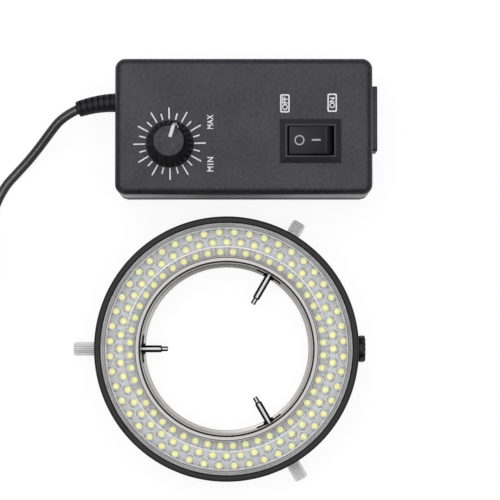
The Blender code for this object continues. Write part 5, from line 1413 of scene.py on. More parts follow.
@dataclass
class RingHead:
    """The ring head's housing, collar, board and cover.

    Attributes:
        lip: the outer radius, foot and top of the lip round the collar's tube.
        flange: the outer radius, foot and top of the flange that the collar screws hold.
        groove: how far outside the bore the lip's groove starts and ends, and its depth from the top.
        stain_and_shade: the heights between which painted shade darkens the collar's bore beside the screws.
        board_ring: the board's inner and outer radius and its lower height.
        cover_ring: the cover's inner and outer radius, foot and top.
    """

    outer: float = 0.0476
    height: float = 0.0200
    rim: float = 0.0022
    rim_round: float = 0.0008
    wall_inner: float = 0.0443
    ledge: float = 0.0426
    ledge_height: float = 0.0107
    seat_height: float = 0.0178
    floor: float = 0.0020
    floor_hole: float = 0.0333
    head_hole: float = 0.00285
    shank_hole: float = 0.0016
    jack_hole: float = 0.0041
    countersink: tuple[tuple[float, float], ...] = (
        (0.0, -MM), (0.0020, -MM), (0.0020, 0.0005), (0.0013, 0.0014), (0.0013, 0.0030), (0.0, 0.0030),
    )
    bore: float = 0.0310
    collar_wall: float = 0.0020
    collar_top: float = 0.0194
    lip: Point = (0.0336, 0.0104, 0.0178)
    flange: Point = (0.0370, 0.0023, 0.0041)
    shoulder: float = 0.0012
    shoulder_height: float = 0.0031
    groove: Point = (0.0001, 0.0005, 0.0016)
    stain_and_shade: tuple[float, float] = (0.0028, 0.0038)
    # How far round from each screw the painted shade reaches, in degrees: on the bore wall, then on the ledge inside
    # it.
    screw_shade_turn: tuple[float, float] = (9.5, 3.5)
    board_ring: Point = (0.0339, 0.0440, 0.0110)
    cover_ring: tuple[float, float, float, float] = (0.0333, 0.0453, 0.0181, 0.0196)
    facets: int = 192

    def drill(self, piece: bpy.types.Object, angle: float, height: float, radius: float, start: float,
              end: float) -> None:
        """Drills a level hole outwards through a wall.

        Args:
            piece: the wall's piece.
            angle: the hole's direction from the ring's axis, in degrees.
            height: its height.
            radius: its radius.
            start: where the drill starts, from the axis.
            end: where it ends.
        """
        tool = Bench.rod("drill", radius, end - start)
        Bench.combine(piece, tool, about_ring(angle, start, height) @ LAY_ALONG_X)

    def turned(self, name: str, profile: Profile) -> bpy.types.Object:
        """Turns a closed profile round the ring's axis."""
        return Bench.move(Bench.lathe(name, profile, self.facets, closed=True), Matrix.Translation(RING_CENTRE))

    def housing(self) -> None:
        """Turns the black channel and drills its holes."""
        top = self.height
        edge = self.outer - self.rim_round
        profile = arc((edge, top - self.rim_round), self.rim_round, 90, 0, 7)
        profile += arc((edge, self.rim_round), self.rim_round, 0, -90, 7)
        inner = self.outer - self.rim
        profile += [(self.floor_hole + 0.0003, 0.0), (self.floor_hole, 0.0003), (self.floor_hole, self.floor),
                    (self.ledge, self.floor), (self.ledge, self.ledge_height), (self.wall_inner, self.ledge_height),
                    (self.wall_inner, self.seat_height), (inner, self.seat_height), (inner, top - 0.0003),
                    (inner + 0.0003, top)]
        piece = self.turned("head_housing", profile)
        for angle in SCREW_ANGLES.values():
            self.drill(piece, angle, SCREW_HEIGHT, self.head_hole, self.ledge - MM, self.outer + MM)
        self.drill(piece, 0.0, JACK_HEIGHT, self.jack_hole, self.ledge - MM, self.outer + MM)
        for angle in COLLAR_SCREW_ANGLES:
            tool = Bench.lathe("countersink", list(self.countersink), 24)
            Bench.combine(piece, tool, about_ring(angle, COLLAR_SCREW_CIRCLE))
        Bench.finish(piece, HOUSING_BLACK, Slot.BLACK_PLASTIC, ("ring_housing",))

    def collar(self) -> None:
        """Turns the bright collar with its lip, groove and back shoulder; painted shade darkens its groove and its
        bore beside the screws, and painted light brightens the rest of its bore wall.
        """
        bore, top, step = self.bore, self.collar_top, self.shoulder
        wall = bore + self.collar_wall
        lip, lip_foot, lip_top = self.lip
        flange, flange_foot, flange_top = self.flange
        near, far, deep = bore + self.groove[0], bore + self.groove[1], top - self.groove[2]
        profile = [(wall - 0.0003, top), (wall, top - 0.0002), (wall, lip_top), (lip, lip_top), (lip, lip_foot),
                   (wall, lip_foot - 0.0006), (wall, flange_top), (flange, flange_top), (flange, flange_foot),
                   (wall, flange_foot), (wall, 0.0002), (wall - 0.0002, 0.0), (bore - 0.0010, 0.0),
                   (bore - step, 0.0002), (bore - step, self.shoulder_height), (bore - 0.0011, 0.0032),
                   (bore - 0.0005, 0.0034), (bore, 0.0036), (bore, top - 0.0012), (near, top - 0.0010),
                   (near, deep), (far, deep), (far, top - 0.00015), (far + 0.00015, top)]
        piece = self.turned("collar_tube", profile)
        for angle in SCREW_ANGLES.values():
            self.drill(piece, angle, SCREW_HEIGHT, self.shank_hole, bore - MM, wall + MM)
        # Faces in the groove and on the bore beside the screws take the near-black metal, painted shade; the bore
        # above that takes the lighter metal, painted light.
        for face in piece.data.polygons:
            out = face.center - RING_CENTRE
            reach = out.xy.length
            turn = math.degrees(math.atan2(out.y, out.x))
            groove = near - 0.00005 < reach < far + 0.00005 and out.z > deep - 0.0002
            beside = min(abs((turn - angle + 180.0) % 360.0 - 180.0) for angle in SCREW_ANGLES.values())
            stain_and_shade = self.stain_and_shade[0] < out.z < self.stain_and_shade[1] and beside < self.screw_shade_turn[int(reach <= bore - 0.0004)]
            within = reach < bore + 0.00001
            face.material_index = 1 if groove or (stain_and_shade and within) else 2 * int(within and out.z > self.stain_and_shade[0])
        Bench.finish(piece, [COLLAR_METAL, COLLAR_SHADE_METAL, BORE_LIT_METAL], Slot.ALUMINIUM, ("mounting_collar",),
                     14.0)

    def board(self) -> None:
        """Makes the board that the lamps stand on."""
        inner, outer, low = self.board_ring
        profile = [(inner, low), (outer, low), (outer, BOARD_TOP), (inner, BOARD_TOP)]
        piece = self.turned("lamp_board", profile)
        Bench.finish(piece, RING_BOARD, Slot.WHITE_BOARD, ("led_board",))

    def cover(self) -> None:
        """Turns the clear cover with its moulding line and chamfered rims."""
        inner, outer, low, high = self.cover_ring
        profile = [(inner, low), (outer, low), (outer, high - 0.0002), (outer - 0.0002, high), (0.0440, high),
                   (0.0438, high - 0.00025), (0.0436, high), (0.0373, high), (0.0371, high + 0.00008),
                   (0.0369, high), (inner + 0.0002, high), (inner, high - 0.0002)]
        piece = self.turned("cover_ring", profile)
        Bench.finish(piece, COVER_CLEAR, Slot.CLEAR_PLATE, ("clear_cover",), 20.0)

    def build(self) -> None:
        """Makes the ring head's large pieces."""
        self.housing()
        self.collar()
        self.board()
        self.cover()


@dataclass
class LampCircle:
    """One circle of clear lamps with their phosphor, their cups and the print at their feet, with painted shade and a
    painted highlight on that print.

    Attributes:
        turn_share: how far the first lamp is turned, in lamp spacings.
        print_rings: the radii of the print's inner edge, crescent, line and outer edge.
        shaded_turns: between which two angles, and past which third, painted shade darkens the line, in degrees.
    """

    name: str
    top_radius: float
    turn_share: float
    lean: float
    count: int = 48
    footprint: float = 0.0007
    lift: float = 0.00004
    length: float = 0.0049
    radius: float = 0.00144
    flange: tuple[float, float] = (0.00152, 0.0004)
    spot: float = 0.00047
    spot_height: float = 0.0026
    post: float = 0.00026
    cup_wall: float = 0.00030
    cup_depth: float = 0.0004
    cup_height: float = 0.0009
    print_rings: tuple[float, float, float, float] = (0.00150, 0.00164, 0.00170, 0.00188)
    shaded_turns: Point = (20.0, 75.0, 150.0)

    def lens(self) -> bpy.types.Object:
        """Turns one lens: a flange, a barrel and a dome, closed below.

        Returns:
            The lens.
        """
        dome = self.length - self.radius
        wide, thick = self.flange
        profile = [(0.0, 0.0), (wide, 0.0), (wide, thick), (self.radius, thick + 0.0001), (self.radius, dome)]
        profile += arc((0.0, dome), self.radius, 22.5, 90, 4)
        profile[-1] = (0.0, self.length)
        return Bench.lathe("lens", profile, 14)

    def phosphor(self) -> bpy.types.Object:
        """Turns the phosphor that fills the cup.

        Returns:
            The phosphor.
        """
        foot = self.spot_height - 0.0003
        profile = [(0.0, foot), (self.spot - 0.00012, foot), (self.spot, self.spot_height - 0.00004),
                   (0.0, self.spot_height)]
        return Bench.lathe("phosphor", profile, 12)

    def cup(self) -> bpy.types.Object:
        """Turns the cup that holds the phosphor, on its post.

        Returns:
            The cup.
        """
        rim = self.spot_height
        wide = self.spot + self.cup_wall
        inside = rim - self.cup_depth
        profile = [(0.0, 0.0002), (self.post, 0.0002), (self.post, rim - self.cup_height), (wide, rim - 0.00012),
                   (wide, rim), (self.spot + 0.00003, rim), (self.spot - 0.00008, inside), (0.0, inside)]
        return Bench.lathe("cup", profile, 10)

    def outline(self) -> bpy.types.Object:
        """Turns the print round the lens's foot: a fine line with painted shade on parts of it, and a white crescent
        inside it that is a painted highlight.

        Returns:
            The print, with its finishes on its faces.
        """
        inner, crescent, line, outer = self.print_rings
        low, high = 0.00003, 0.00004
        piece = Bench.lathe("outline", [(inner, 0.0), (outer, 0.0), (outer, low), (line, high), (crescent, high),
                                        (inner, low)], 24, closed=True)
        for finish in FOOT_PRINT_AND_PAINTED_LIGHT:
            piece.data.materials.append(Paintshop.get(finish))
        for face in piece.data.polygons:
            reach = face.center.xy.length
            turn = abs(math.degrees(math.atan2(face.center.y, face.center.x)))
            # Parts of the line take the near-black finish, painted shade, and the outer half of the inner ring the
            # white one, a painted highlight.
            if face.normal.z > 0.5 and reach > line:
                face.material_index = 2 if self.shaded_turns[0] < turn < self.shaded_turns[1] or turn > self.shaded_turns[2] else 1
            elif face.normal.z > 0.5 and reach < crescent and turn < 90:
                face.material_index = 3
        return piece

    def build(self) -> None:
        """Makes one lamp and copies it round the circle."""
        foot = BOARD_TOP + self.lift
        base = self.top_radius + self.length * math.tan(math.radians(self.lean))
        tilt = Matrix.Rotation(-math.radians(self.lean), 4, "Y")
        step = 360.0 / self.count
        turns = [step * (number + self.turn_share) for number in range(self.count)]
        tilted = [about_ring(turn, base, foot + 0.0002) @ tilt for turn in turns]
        upright = [about_ring(turn, self.top_radius + self.footprint, foot) for turn in turns]
        for kind, model, places, finishes, slot, stands_for in (
                ("lenses", self.lens, tilted, LAMP_LENS, Slot.CLEAR_LED, ("led_circle_" + self.name,)),
                ("phosphor", self.phosphor, tilted, LAMP_PHOSPHOR, Slot.CLEAR_LED, ()),
                ("cups", self.cup, tilted, LAMP_CUP, Slot.NICKEL, ()),
                ("outlines", self.outline, upright, FOOT_PRINT_AND_PAINTED_LIGHT, Slot.WHITE_BOARD, ())):
            made = Bench.copies(model(), places)
            made.name = "lamp_%s_%s" % (kind, self.name)
            Bench.finish(made, finishes, slot, stands_for, 50.0)


@dataclass
class ThumbScrew:
    """A thumb screw: knurled aluminium head on a dark steel shank with a dog point.

    Attributes:
        bore: the radius and depth of the head's bore.
        thread: the thread's start from the tip, its pitch and its depth.
    """

    side: str
    angle: float
    reach: float
    length: float = 0.0342
    head_length: float = 0.0130
    head_radius: float = 0.0024
    shank_radius: float = 0.0013
    dog_radius: float = 0.0009
    dog_length: float = 0.0021
    teeth: int = 18
    tooth: float = 0.00030
    bore: tuple[float, float] = (0.0016, 0.0060)
    socket: float = 0.0057
    thread: Point = (0.0122, 0.0005, 0.00012)

    def place(self) -> Matrix:
        """Gives the screw's place, its own Z pointing outwards from its tip."""
        return about_ring(self.angle, self.reach - self.length, SCREW_HEIGHT) @ LAY_ALONG_X

    def head(self) -> None:
        """Turns the head, knurls it straight and bores it for the shank."""
        inner = self.length - self.head_length
        wide = self.head_radius
        end = self.length
        profile = [(0.0, inner), (0.00155, inner), (wide - 0.0004, inner), (wide - 0.0001, inner + 0.0003),
                   (wide - 0.0001, inner + 0.0008), (wide, inner + 0.0010), (wide, end - 0.0006),
                   (wide - 0.0001, end - 0.00045), (wide - 0.0004, end - 0.0001), (wide - 0.0006, end),
                   (0.0010, end), (0.0008, end - 0.0002), (0.0, end - 0.0002)]
        sides = 4 * self.teeth
        piece = Bench.lathe("screw_head_" + self.side, profile, sides)
        shape = Bench.edit(piece)
        grooves = [v for v in shape.verts if facet(v.co, sides) % 4 in (0, 1)
                   and v.co.xy.length > wide - 0.00015 and v.co.z > inner + 0.0009]
        Bench.choose(shape, grooves)
        share = 1 - self.tooth / wide
        bpy.ops.transform.resize(value=(share, share, 1.0), center_override=(0.0, 0.0, 0.0))
        Bench.tidy_mesh()
        radius, depth = self.bore
        Bench.combine(piece, Bench.rod("bore", radius, depth + MM, 24), Matrix.Translation((0, 0, inner - MM)))
        # Faces at the bottom of the knurl grooves take the darker metal: painted shade in the grooves.
        for face in piece.data.polygons:
            middle = face.center
            face.material_index = int(wide - 0.0005 < middle.xy.length < wide - 0.0002
                                      and inner + 0.0012 < middle.z < end - 0.0008)
        Bench.move(piece, self.place())
        Bench.finish(piece, [HEAD_METAL, HEAD_GROOVE_SHADE], Slot.ALUMINIUM, ("thumb_screw_head_" + self.side,), 25.0,
                     Body("screw_head_" + self.side))

    def shank(self) -> None:
        """Turns the shank with its dog point and its fine thread where it passes the collar."""
        wide = self.shank_radius
        inner = self.length - self.head_length
        profile = [(0.0, 0.0), (self.dog_radius - 0.0002, 0.0), (self.dog_radius, 0.0002),
                   (self.dog_radius, self.dog_length), (wide - 0.0001, self.dog_length + 0.0003),
                   (wide, self.dog_length + 0.0005)]
        level, pitch, depth = self.thread
        while level < inner - 0.0012:
            profile += [(wide, level), (wide - depth, level + 0.00022), (wide, level + 0.00044)]
            level += pitch
        profile += [(wide, inner + self.socket), (0.0, inner + self.socket)]
        piece = Bench.lathe("screw_shank_" + self.side, profile, 32)
        Bench.move(piece, self.place())
        Bench.finish(piece, SHANK_METAL, Slot.STEEL, ("thumb_screw_shank_" + self.side,), 25.0,
                     Body("screw_shank_" + self.side))

    def build(self) -> None:
        """Makes the head and the shank."""
        self.head()
        self.shank()


@dataclass
class PowerJack:
    """The ring head's power jack: a black notched bushing with a bright sleeve inside."""

    ring_outer: float = 0.0476
    face: float = 0.0503
    wide: float = 0.00485
    sides: int = 64
    notch: float = 0.0006

    def build(self) -> None:
        """Turns the bushing and its sleeve."""
        place = about_ring(0.0, 0.0, JACK_HEIGHT) @ LAY_ALONG_X
        foot = self.ring_outer + 0.0003
        profile = arc((self.wide - 0.0008, self.face - 0.0008), 0.0008, 90, 0, 7)
        profile += [(self.wide, foot + 0.0004), (self.wide - 0.0003, foot), (0.0038, foot), (0.0038, 0.0426),
                    (0.0030, 0.0426), (0.0030, self.face - 0.0004), (0.0034, self.face)]
        bushing = Bench.lathe("jack_collar", profile, self.sides, closed=True)
        shape = Bench.edit(bushing)
        Bench.choose(shape, [v for v in shape.verts if v.co.z > self.face - 0.0009 and v.co.xy.length > 0.0038
                             and facet(v.co, self.sides) % 6 in (0, 1, 2)])
        bpy.ops.transform.translate(value=(0.0, 0.0, -self.notch))
        Bench.tidy_mesh()
        Bench.move(bushing, place)
        Bench.finish(bushing, JACK_BLACK, Slot.BLACK_PLASTIC, ("ring_jack_bushing",))
        sleeve = Bench.lathe("jack_sleeve", [(0.00298, 0.0428), (0.00298, self.face - 0.0006),
                                             (0.00270, self.face - 0.0006), (0.00270, 0.0428)], 48, closed=True)
        Bench.move(sleeve, place)
        Bench.finish(sleeve, NICKEL_METAL, Slot.NICKEL)


@dataclass
class DimmerCase:
    """The dimmer box's front shell and the print on its panel.

    Attributes:
        rays: the name, inner and outer end and first direction, in degrees, of the two kinds of ray.
    """

    size: Point = (0.0916, 0.0485, 0.0320)
    corner: float = 0.0037
    edge: float = 0.0026
    wall: float = 0.0018
    foot: float = 0.0025
    # Height below which the side walls take the darker copy of the case plastic: painted shade along their bottom.
    dull: float = 0.0120
    knob: tuple[float, float] = (-0.0262, -0.0064)
    dial_centre: tuple[float, float] = (-0.02632, -0.00626)
    switch: tuple[float, float] = (0.0237, -0.0053)
    inlet: tuple[float, float] = (0.0035, 0.0160)
    relief: tuple[float, float] = (0.0099, 0.0160)
    knob_hole: float = 0.0038
    switch_hole: tuple[float, float] = (0.0198, 0.0137)
    inlet_hole: tuple[float, float] = (0.0118, 0.0206)
    relief_hole: float = 0.0030
    ink: float = 0.00004
    bold: float = 0.00006
    rays: tuple[tuple[str, float, float, float], ...] = (
        ("long_ray", 0.00870, 0.01285, 1.0), ("short_ray", 0.00870, 0.01110, 16.0),
    )
    ray_width: float = 0.00048
    frame: tuple[float, float] = (0.00335, 0.0065)
    frame_inside: tuple[float, float] = (0.00240, 0.00555)

    def shell(self) -> None:
        """Makes the deep shell with its four panel openings."""
        long, wide, high = self.size
        piece = Bench.slab("case_shell", (long, wide, high - self.foot), self.corner, self.edge, steps=7)
        hollow = Bench.slab("hollow", (long - 2 * self.wall, wide - 2 * self.wall, high - self.foot - self.wall + MM),
                            self.corner - self.wall, 0.0005, steps=3)
        Bench.combine(piece, hollow, MM_DOWN)
        Bench.move(piece, on_box(0.0, 0.0, self.foot))
        through = self.wall + 2 * MM
        below = high - self.wall - MM
        Bench.combine(piece, Bench.rod("hole", self.knob_hole, through), on_box(*self.knob, below))
        opening = Bench.slab("opening", (*self.switch_hole, through))
        Bench.combine(piece, opening, on_box(*self.switch, below))
        socket = Bench.slab("socket", (*self.inlet_hole, through), 0.0015, steps=3)
        Bench.combine(piece, socket, on_box(long / 2 - self.wall - MM, *self.inlet) @ LAY_ALONG_X)
        outlet = Bench.rod("outlet", self.relief_hole, through)
        Bench.combine(piece, outlet, on_box(-long / 2 - MM, *self.relief) @ LAY_ALONG_X)
        # The walls are cut at the height dull: side faces above it take a glossier copy of the case plastic, and those
        # below it a darker copy with little gloss, painted shade along their bottom.
        Bench.edit(piece)
        bpy.ops.mesh.select_all(action="SELECT")
        bpy.ops.mesh.bisect(plane_co=(0.0, 0.0, self.dull), plane_no=(0.0, 0.0, 1.0))
        Bench.put_down()
        for face in piece.data.polygons:
            if abs(face.normal.z) < 0.3:
                face.material_index = 1 if face.center.z > self.dull else 2
        Bench.finish(piece, [CASE_BLACK, CASE_SIDE, CASE_FOOT_SHADE], Slot.CASE_PLASTIC, ("case_front",), 30.0)

    def dial(self) -> None:
        """Prints the dial's rays: a long one every 30 degrees and a short one between."""
        rays = []
        for name, inner, outer, first in self.rays:
            ray = Bench.slab(name, (outer - inner, self.ray_width, self.ink), 0.00014, steps=2)
            Bench.move(ray, Matrix.Translation(((outer + inner) / 2, 0.0, 0.0)))
            places = [on_box(*self.dial_centre, self.size[2]) @ Matrix.Rotation(math.radians(first + 30.0 * k), 4, "Z")
                      for k in range(12)]
            rays.append(Bench.copies(ray, places))
        rays[0].name = "dial_rays"
        Bench.finish(Bench.join(rays), WHITE_INK, Slot.CASE_PLASTIC)

    def word(self, name: str, text: str, spot: tuple[float, float], size: tuple[float, float], spacing: float) -> None:
        """Prints a word that reads upwards.

        Args:
            name: the piece's name.
            text: what it says.
            spot: its middle in the frame's X and Y.
            size: its length and the height of its letters.
            spacing: the distance between letters.
        """
        piece = Bench.words(name, text, size, self.ink, spacing, self.bold)
        place = Matrix.Translation((spot[0], spot[1], self.size[2])) @ Matrix.Rotation(math.pi / 2, 4, "Z")
        Bench.finish(Bench.move(piece, place), WHITE_INK, Slot.CASE_PLASTIC)

    def label_frame(self, name: str, spot: tuple[float, float]) -> None:
        """Prints a rounded frame round a word.

        Args:
            name: the piece's name.
            spot: its middle in the frame's X and Y.
        """
        piece = Bench.slab(name, (*self.frame, self.ink), 0.0006, steps=3)
        hollow = Bench.slab("hollow", (*self.frame_inside, self.ink + 2 * MM), 0.0003, steps=2)
        Bench.combine(piece, hollow, MM_DOWN)
        Bench.move(piece, Matrix.Translation((spot[0], spot[1], self.size[2])))
        Bench.finish(piece, WHITE_INK, Slot.CASE_PLASTIC)

    def build(self) -> None:
        """Makes the shell and its print."""
        self.shell()
        self.dial()
        self.word("label_max", "MAX", (-0.00498, 0.05310), (0.00506, 0.00216), 1.10)
        self.word("label_min", "MIN", (-0.00490, 0.03798), (0.00513, 0.00216), 1.25)
        self.word("label_off", "OFF", (0.02156, 0.05965), (0.00480, 0.00200), 0.95)
        self.word("label_on", "ON", (0.03835, 0.05987), (0.00375, 0.00190), 0.95)
        self.label_frame("frame_off", (0.02156, 0.05965))
        self.label_frame("frame_on", (0.03835, 0.05987))


@dataclass
class DialKnob:
    """The ribbed knob with its pointer, and a painted highlight beside it.

    Attributes:
        flute_highlight: the ends of the thin white sliver beside the pointer, a painted highlight of the next flute.
        hollow: the radius and depth of the hollow below.
        bore: the radius and depth of the shaft's bore.
    """

    axis: Point = (-0.01925, 0.045174, 0.0324)
    pointer: float = 73.3
    foot_radius: float = 0.00825
    top_radius: float = 0.0055
    height: float = 0.0132
    skirt: float = 0.0012
    ribs: int = 36
    wide: float = 0.0012
    drop: float = 0.0066
    flute: float = 0.00005
    flute_highlight: tuple[Point, Point] = ((0.00705, -0.0005, 0.0067), (0.0055, -0.0018, 0.0119))
    hollow: tuple[float, float] = (0.0062, 0.0046)
    bore: tuple[float, float] = (0.0033, 0.0111)

    def place(self) -> Matrix:
        """Gives the knob's place, its own X along the pointer."""
        return Matrix.Translation(self.axis) @ Matrix.Rotation(math.radians(self.pointer), 4, "Z")

    def cone(self) -> None:
        """Turns the cone, flutes its side and hollows it below."""
        foot, top, high = self.foot_radius, self.top_radius, self.height
        profile = [(0.0, 0.0), (foot - 0.0002, 0.0), (foot, 0.0002), (foot, self.skirt - 0.0001),
                   (foot - 0.00015, self.skirt + 0.0001)]
        for share in np.linspace(0.06, 0.93, 5):
            profile.append((foot + (top - foot) * share, self.skirt + (high - self.skirt) * share))
        profile += arc((top - 0.0004, high - 0.0004), 0.0004, 14, 90, 5)
        profile += [(top - 0.0006, high - 0.00006), (0.0, high - 0.00006)]
        sides = 4 * self.ribs
        piece = Bench.lathe("knob_cone", profile, sides)
        shape = Bench.edit(piece)
        flutes = [v for v in shape.verts if self.skirt + 0.0005 < v.co.z < high - 0.0003
                  and facet(v.co, sides) % 4 in (0, 1)]
        Bench.choose(shape, flutes)
        share = 1 - self.flute / foot
        bpy.ops.transform.resize(value=(share, share, 1.0), center_override=(0.0, 0.0, 0.0))
        Bench.tidy_mesh()
        hollow = Bench.rod("hollow", self.hollow[0], self.hollow[1] + MM)
        Bench.combine(piece, hollow, MM_DOWN)
        Bench.combine(piece, Bench.rod("bore", *self.bore), Matrix.Identity(4))
        # The top face takes the lighter copy of the knob's plastic, and the side the near-black one, painted shade.
        for face in piece.data.polygons:
            middle = face.center
            face.material_index = int(middle.z > high - 0.0003 and middle.xy.length < top - 0.0002)
        Bench.move(piece, self.place())
        Bench.finish(piece, [KNOB_BLACK, KNOB_FACE], Slot.KNOB_PLASTIC, ("dimmer_knob",), 28.0, Body.DIMMER)

    def mark(self) -> None:
        """Inlays the white pointer, over the top and down the side, with a thin white sliver beside it as a painted
        highlight.
        """
        foot, top, high = self.foot_radius, self.top_radius, self.height
        bar = Bench.slab("knob_pointer", (top - 0.0013, self.wide, 0.0006), 0.0002, 0.0001, steps=2)
        Bench.move(bar, Matrix.Translation(((top + 0.0015) / 2, 0.0, high - 0.00052)))
        slope = math.atan2(foot - top, high - self.skirt)
        drop = Bench.slab("drop", (0.0006, self.wide, self.drop), 0.0, 0.0001, steps=2)
        Bench.move(drop, Matrix.Translation((-0.00015, 0.0, -self.drop)))
        lean = Matrix.Translation((top, 0.0, high - 0.0002)) @ Matrix.Rotation(-slope, 4, "Y")
        Bench.combine(bar, drop, lean, "UNION")
        # A painted highlight: a thin white sliver on the flute beside the pointer, in the pointer's ink.
        start, end = (Vector(point) for point in self.flute_highlight)
        flute_highlight = Bench.slab("flute_highlight", ((end - start).length, 0.0003, 0.0003), 0.0, 0.0001, steps=2)
        turned = (end - start).to_track_quat("X", "Z").to_matrix().to_4x4()
        Bench.move(flute_highlight, Matrix.Translation((start + end) / 2) @ turned)
        Bench.join([bar, flute_highlight])
        Bench.move(bar, self.place())
        Bench.finish(bar, POINTER_INK, Slot.KNOB_PLASTIC, body=Body.DIMMER)

    def build(self) -> None:
        """Makes the knob and its pointer."""
        self.cone()
        self.mark()


@dataclass
class RockerSwitch:
    """The rocker switch: bezel and box, and the paddle with its two marks.

    Attributes:
        well: the opening that the paddle sits in.
    """

    axis: Point = (0.03065, 0.046274, 0.0311)
    tilt: float = 11.0
    bezel: Point = (0.0215, 0.0154, 0.0018)
    bezel_foot: float = 0.0323
    well: tuple[float, float] = (0.0166, 0.0105)
    lip: float = 0.00075
    box_wall: float = 0.0026
    floor: float = 0.0234
    bottom: float = 0.0204
    paddle_width: float = 0.0099
    reach: float = 0.0080
    half: float = 0.0068
    rise: float = 0.0054
    dish: float = 0.0005

    def housing(self) -> None:
        """Extrudes the box, the sloped bezel, its lip and the well inside it."""
        long, wide, thick = self.bezel
        x, y = self.well
        foot = self.bezel_foot
        top = foot + thick
        box = (x + self.box_wall, y + self.box_wall)
        lip = (x + 2 * self.lip, y + 2 * self.lip)
        piece = Bench.stack("switch_bezel", [
            (*box, self.bottom), (*box, foot), (long, wide, foot), (long, wide, top - 0.0010), (*lip, top - 0.00025),
            (*lip, top), (x, y, top), (x, y, self.floor)])
        Bench.soften(piece, 0.00010, 2, 20.0)
        Bench.move(piece, Matrix.Translation((self.axis[0], self.axis[1], 0.0)))
        Bench.finish(piece, BEZEL_BLACK, Slot.BLACK_PLASTIC, ("rocker_housing",), 25.0)

    def top(self, x: float) -> float:
        """Gives the height of the paddle's dished face over its pivot."""
        return self.rise - self.dish * (1 - (x / self.half) ** 2)

    def paddle(self) -> None:
        """Extrudes the paddle's side view and rounds its edges."""
        right = [*arc((0.0, 0.0), self.reach, -18, 12, 7), (self.half, self.rise)]
        face = [(self.half * share, self.top(self.half * share)) for share in np.linspace(0.9, -0.9, 13)]
        left = [(-x, z) for x, z in reversed(right)]
        outline = right + face + left + [(-0.0022, -0.0046), (0.0022, -0.0046)]
        piece = Bench.extruded("switch_paddle", outline, self.paddle_width)
        Bench.soften(piece, 0.00022, 2, 25.0)
        Bench.move(piece, self.place())
        Bench.finish(piece, ROCKER_BLACK, Slot.BLACK_PLASTIC, ("rocker_paddle",), 35.0, Body.ROCKER)

    def place(self) -> Matrix:
        """Gives the paddle's place at rest."""
        return Matrix.Translation(self.axis) @ Matrix.Rotation(-math.radians(self.tilt), 4, "Y")

    def on_face(self, x: float) -> Matrix:
        """Gives the place of a mark on the dished face."""
        slope = math.atan(2 * self.dish * x / self.half ** 2)
        return self.place() @ Matrix.Translation((x, 0.0, self.top(x) - 0.00003)) @ Matrix.Rotation(-slope, 4, "Y")

    def marks(self) -> None:
        """Inlays the O on the pressed side and the I on the other."""
        ring = Bench.lathe("mark_o", [(0.00132, 0.0), (0.00180, 0.0), (0.00178, 0.00007), (0.00134, 0.00007)], 40,
                           closed=True)
        Bench.finish(Bench.move(ring, self.on_face(-0.0031)), MARK_INK, Slot.BLACK_PLASTIC, body=Body.ROCKER)
        bar = Bench.slab("mark_i", (0.0032, 0.00062, 0.00008), 0.0001, steps=2)
        Bench.finish(Bench.move(bar, self.on_face(0.0029)), MARK_INK, Slot.BLACK_PLASTIC, body=Body.ROCKER)

    def build(self) -> None:
        """Makes the housing, the paddle and the marks."""
        self.housing()
        self.paddle()
        self.marks()


@dataclass
class MainsInlet:
    """The figure-eight mains inlet in the right wall.

    Attributes:
        pin_hole: the radius and depth of the holes for the pins.
    """

    face: float = 0.05485
    centre: tuple[float, float] = (0.055074, 0.0160)
    flange: Point = (0.0140, 0.0234, 0.0018)
    body: Point = (0.0112, 0.0200, 0.0113)
    lobe: float = 0.0040
    spacing: float = 0.0086
    depth: float = 0.0108
    pin_hole: tuple[float, float] = (0.0015, 0.0100)

    def build(self) -> None:
        """Makes the flange and body, with the two-lobed socket cut into them."""
        turn = Matrix.Translation((self.face, self.centre[0], self.centre[1])) @ LAY_ALONG_X
        thick = self.flange[2]
        piece = Bench.slab("inlet_socket", self.flange, 0.0010, 0.0003, steps=4)
        Bench.move(piece, Matrix.Translation((0, 0, -thick)))
        body = Bench.slab("body", self.body, 0.0015, steps=3)
        Bench.combine(piece, body, Matrix.Translation((0, 0, -thick - self.body[2] + 0.0002)), "UNION")
        for side in (-1, 1):
            lobe = Bench.rod("lobe", self.lobe, self.depth + MM)
            Bench.combine(piece, lobe, Matrix.Translation((0, side * self.spacing / 2, -self.depth)))
        waist = Bench.slab("waist", (1.6 * self.lobe, self.spacing, self.depth + MM))
        Bench.combine(piece, waist, Matrix.Translation((0, 0, -self.depth)))
        for side in (-1, 1):
            hole = Bench.rod("hole", *self.pin_hole)
            Bench.combine(piece, hole, Matrix.Translation((0, side * self.spacing / 2, -0.0180)))
        Bench.move(piece, turn)
        Bench.finish(piece, BEZEL_BLACK, Slot.BLACK_PLASTIC, ("inlet_housing",), 30.0)


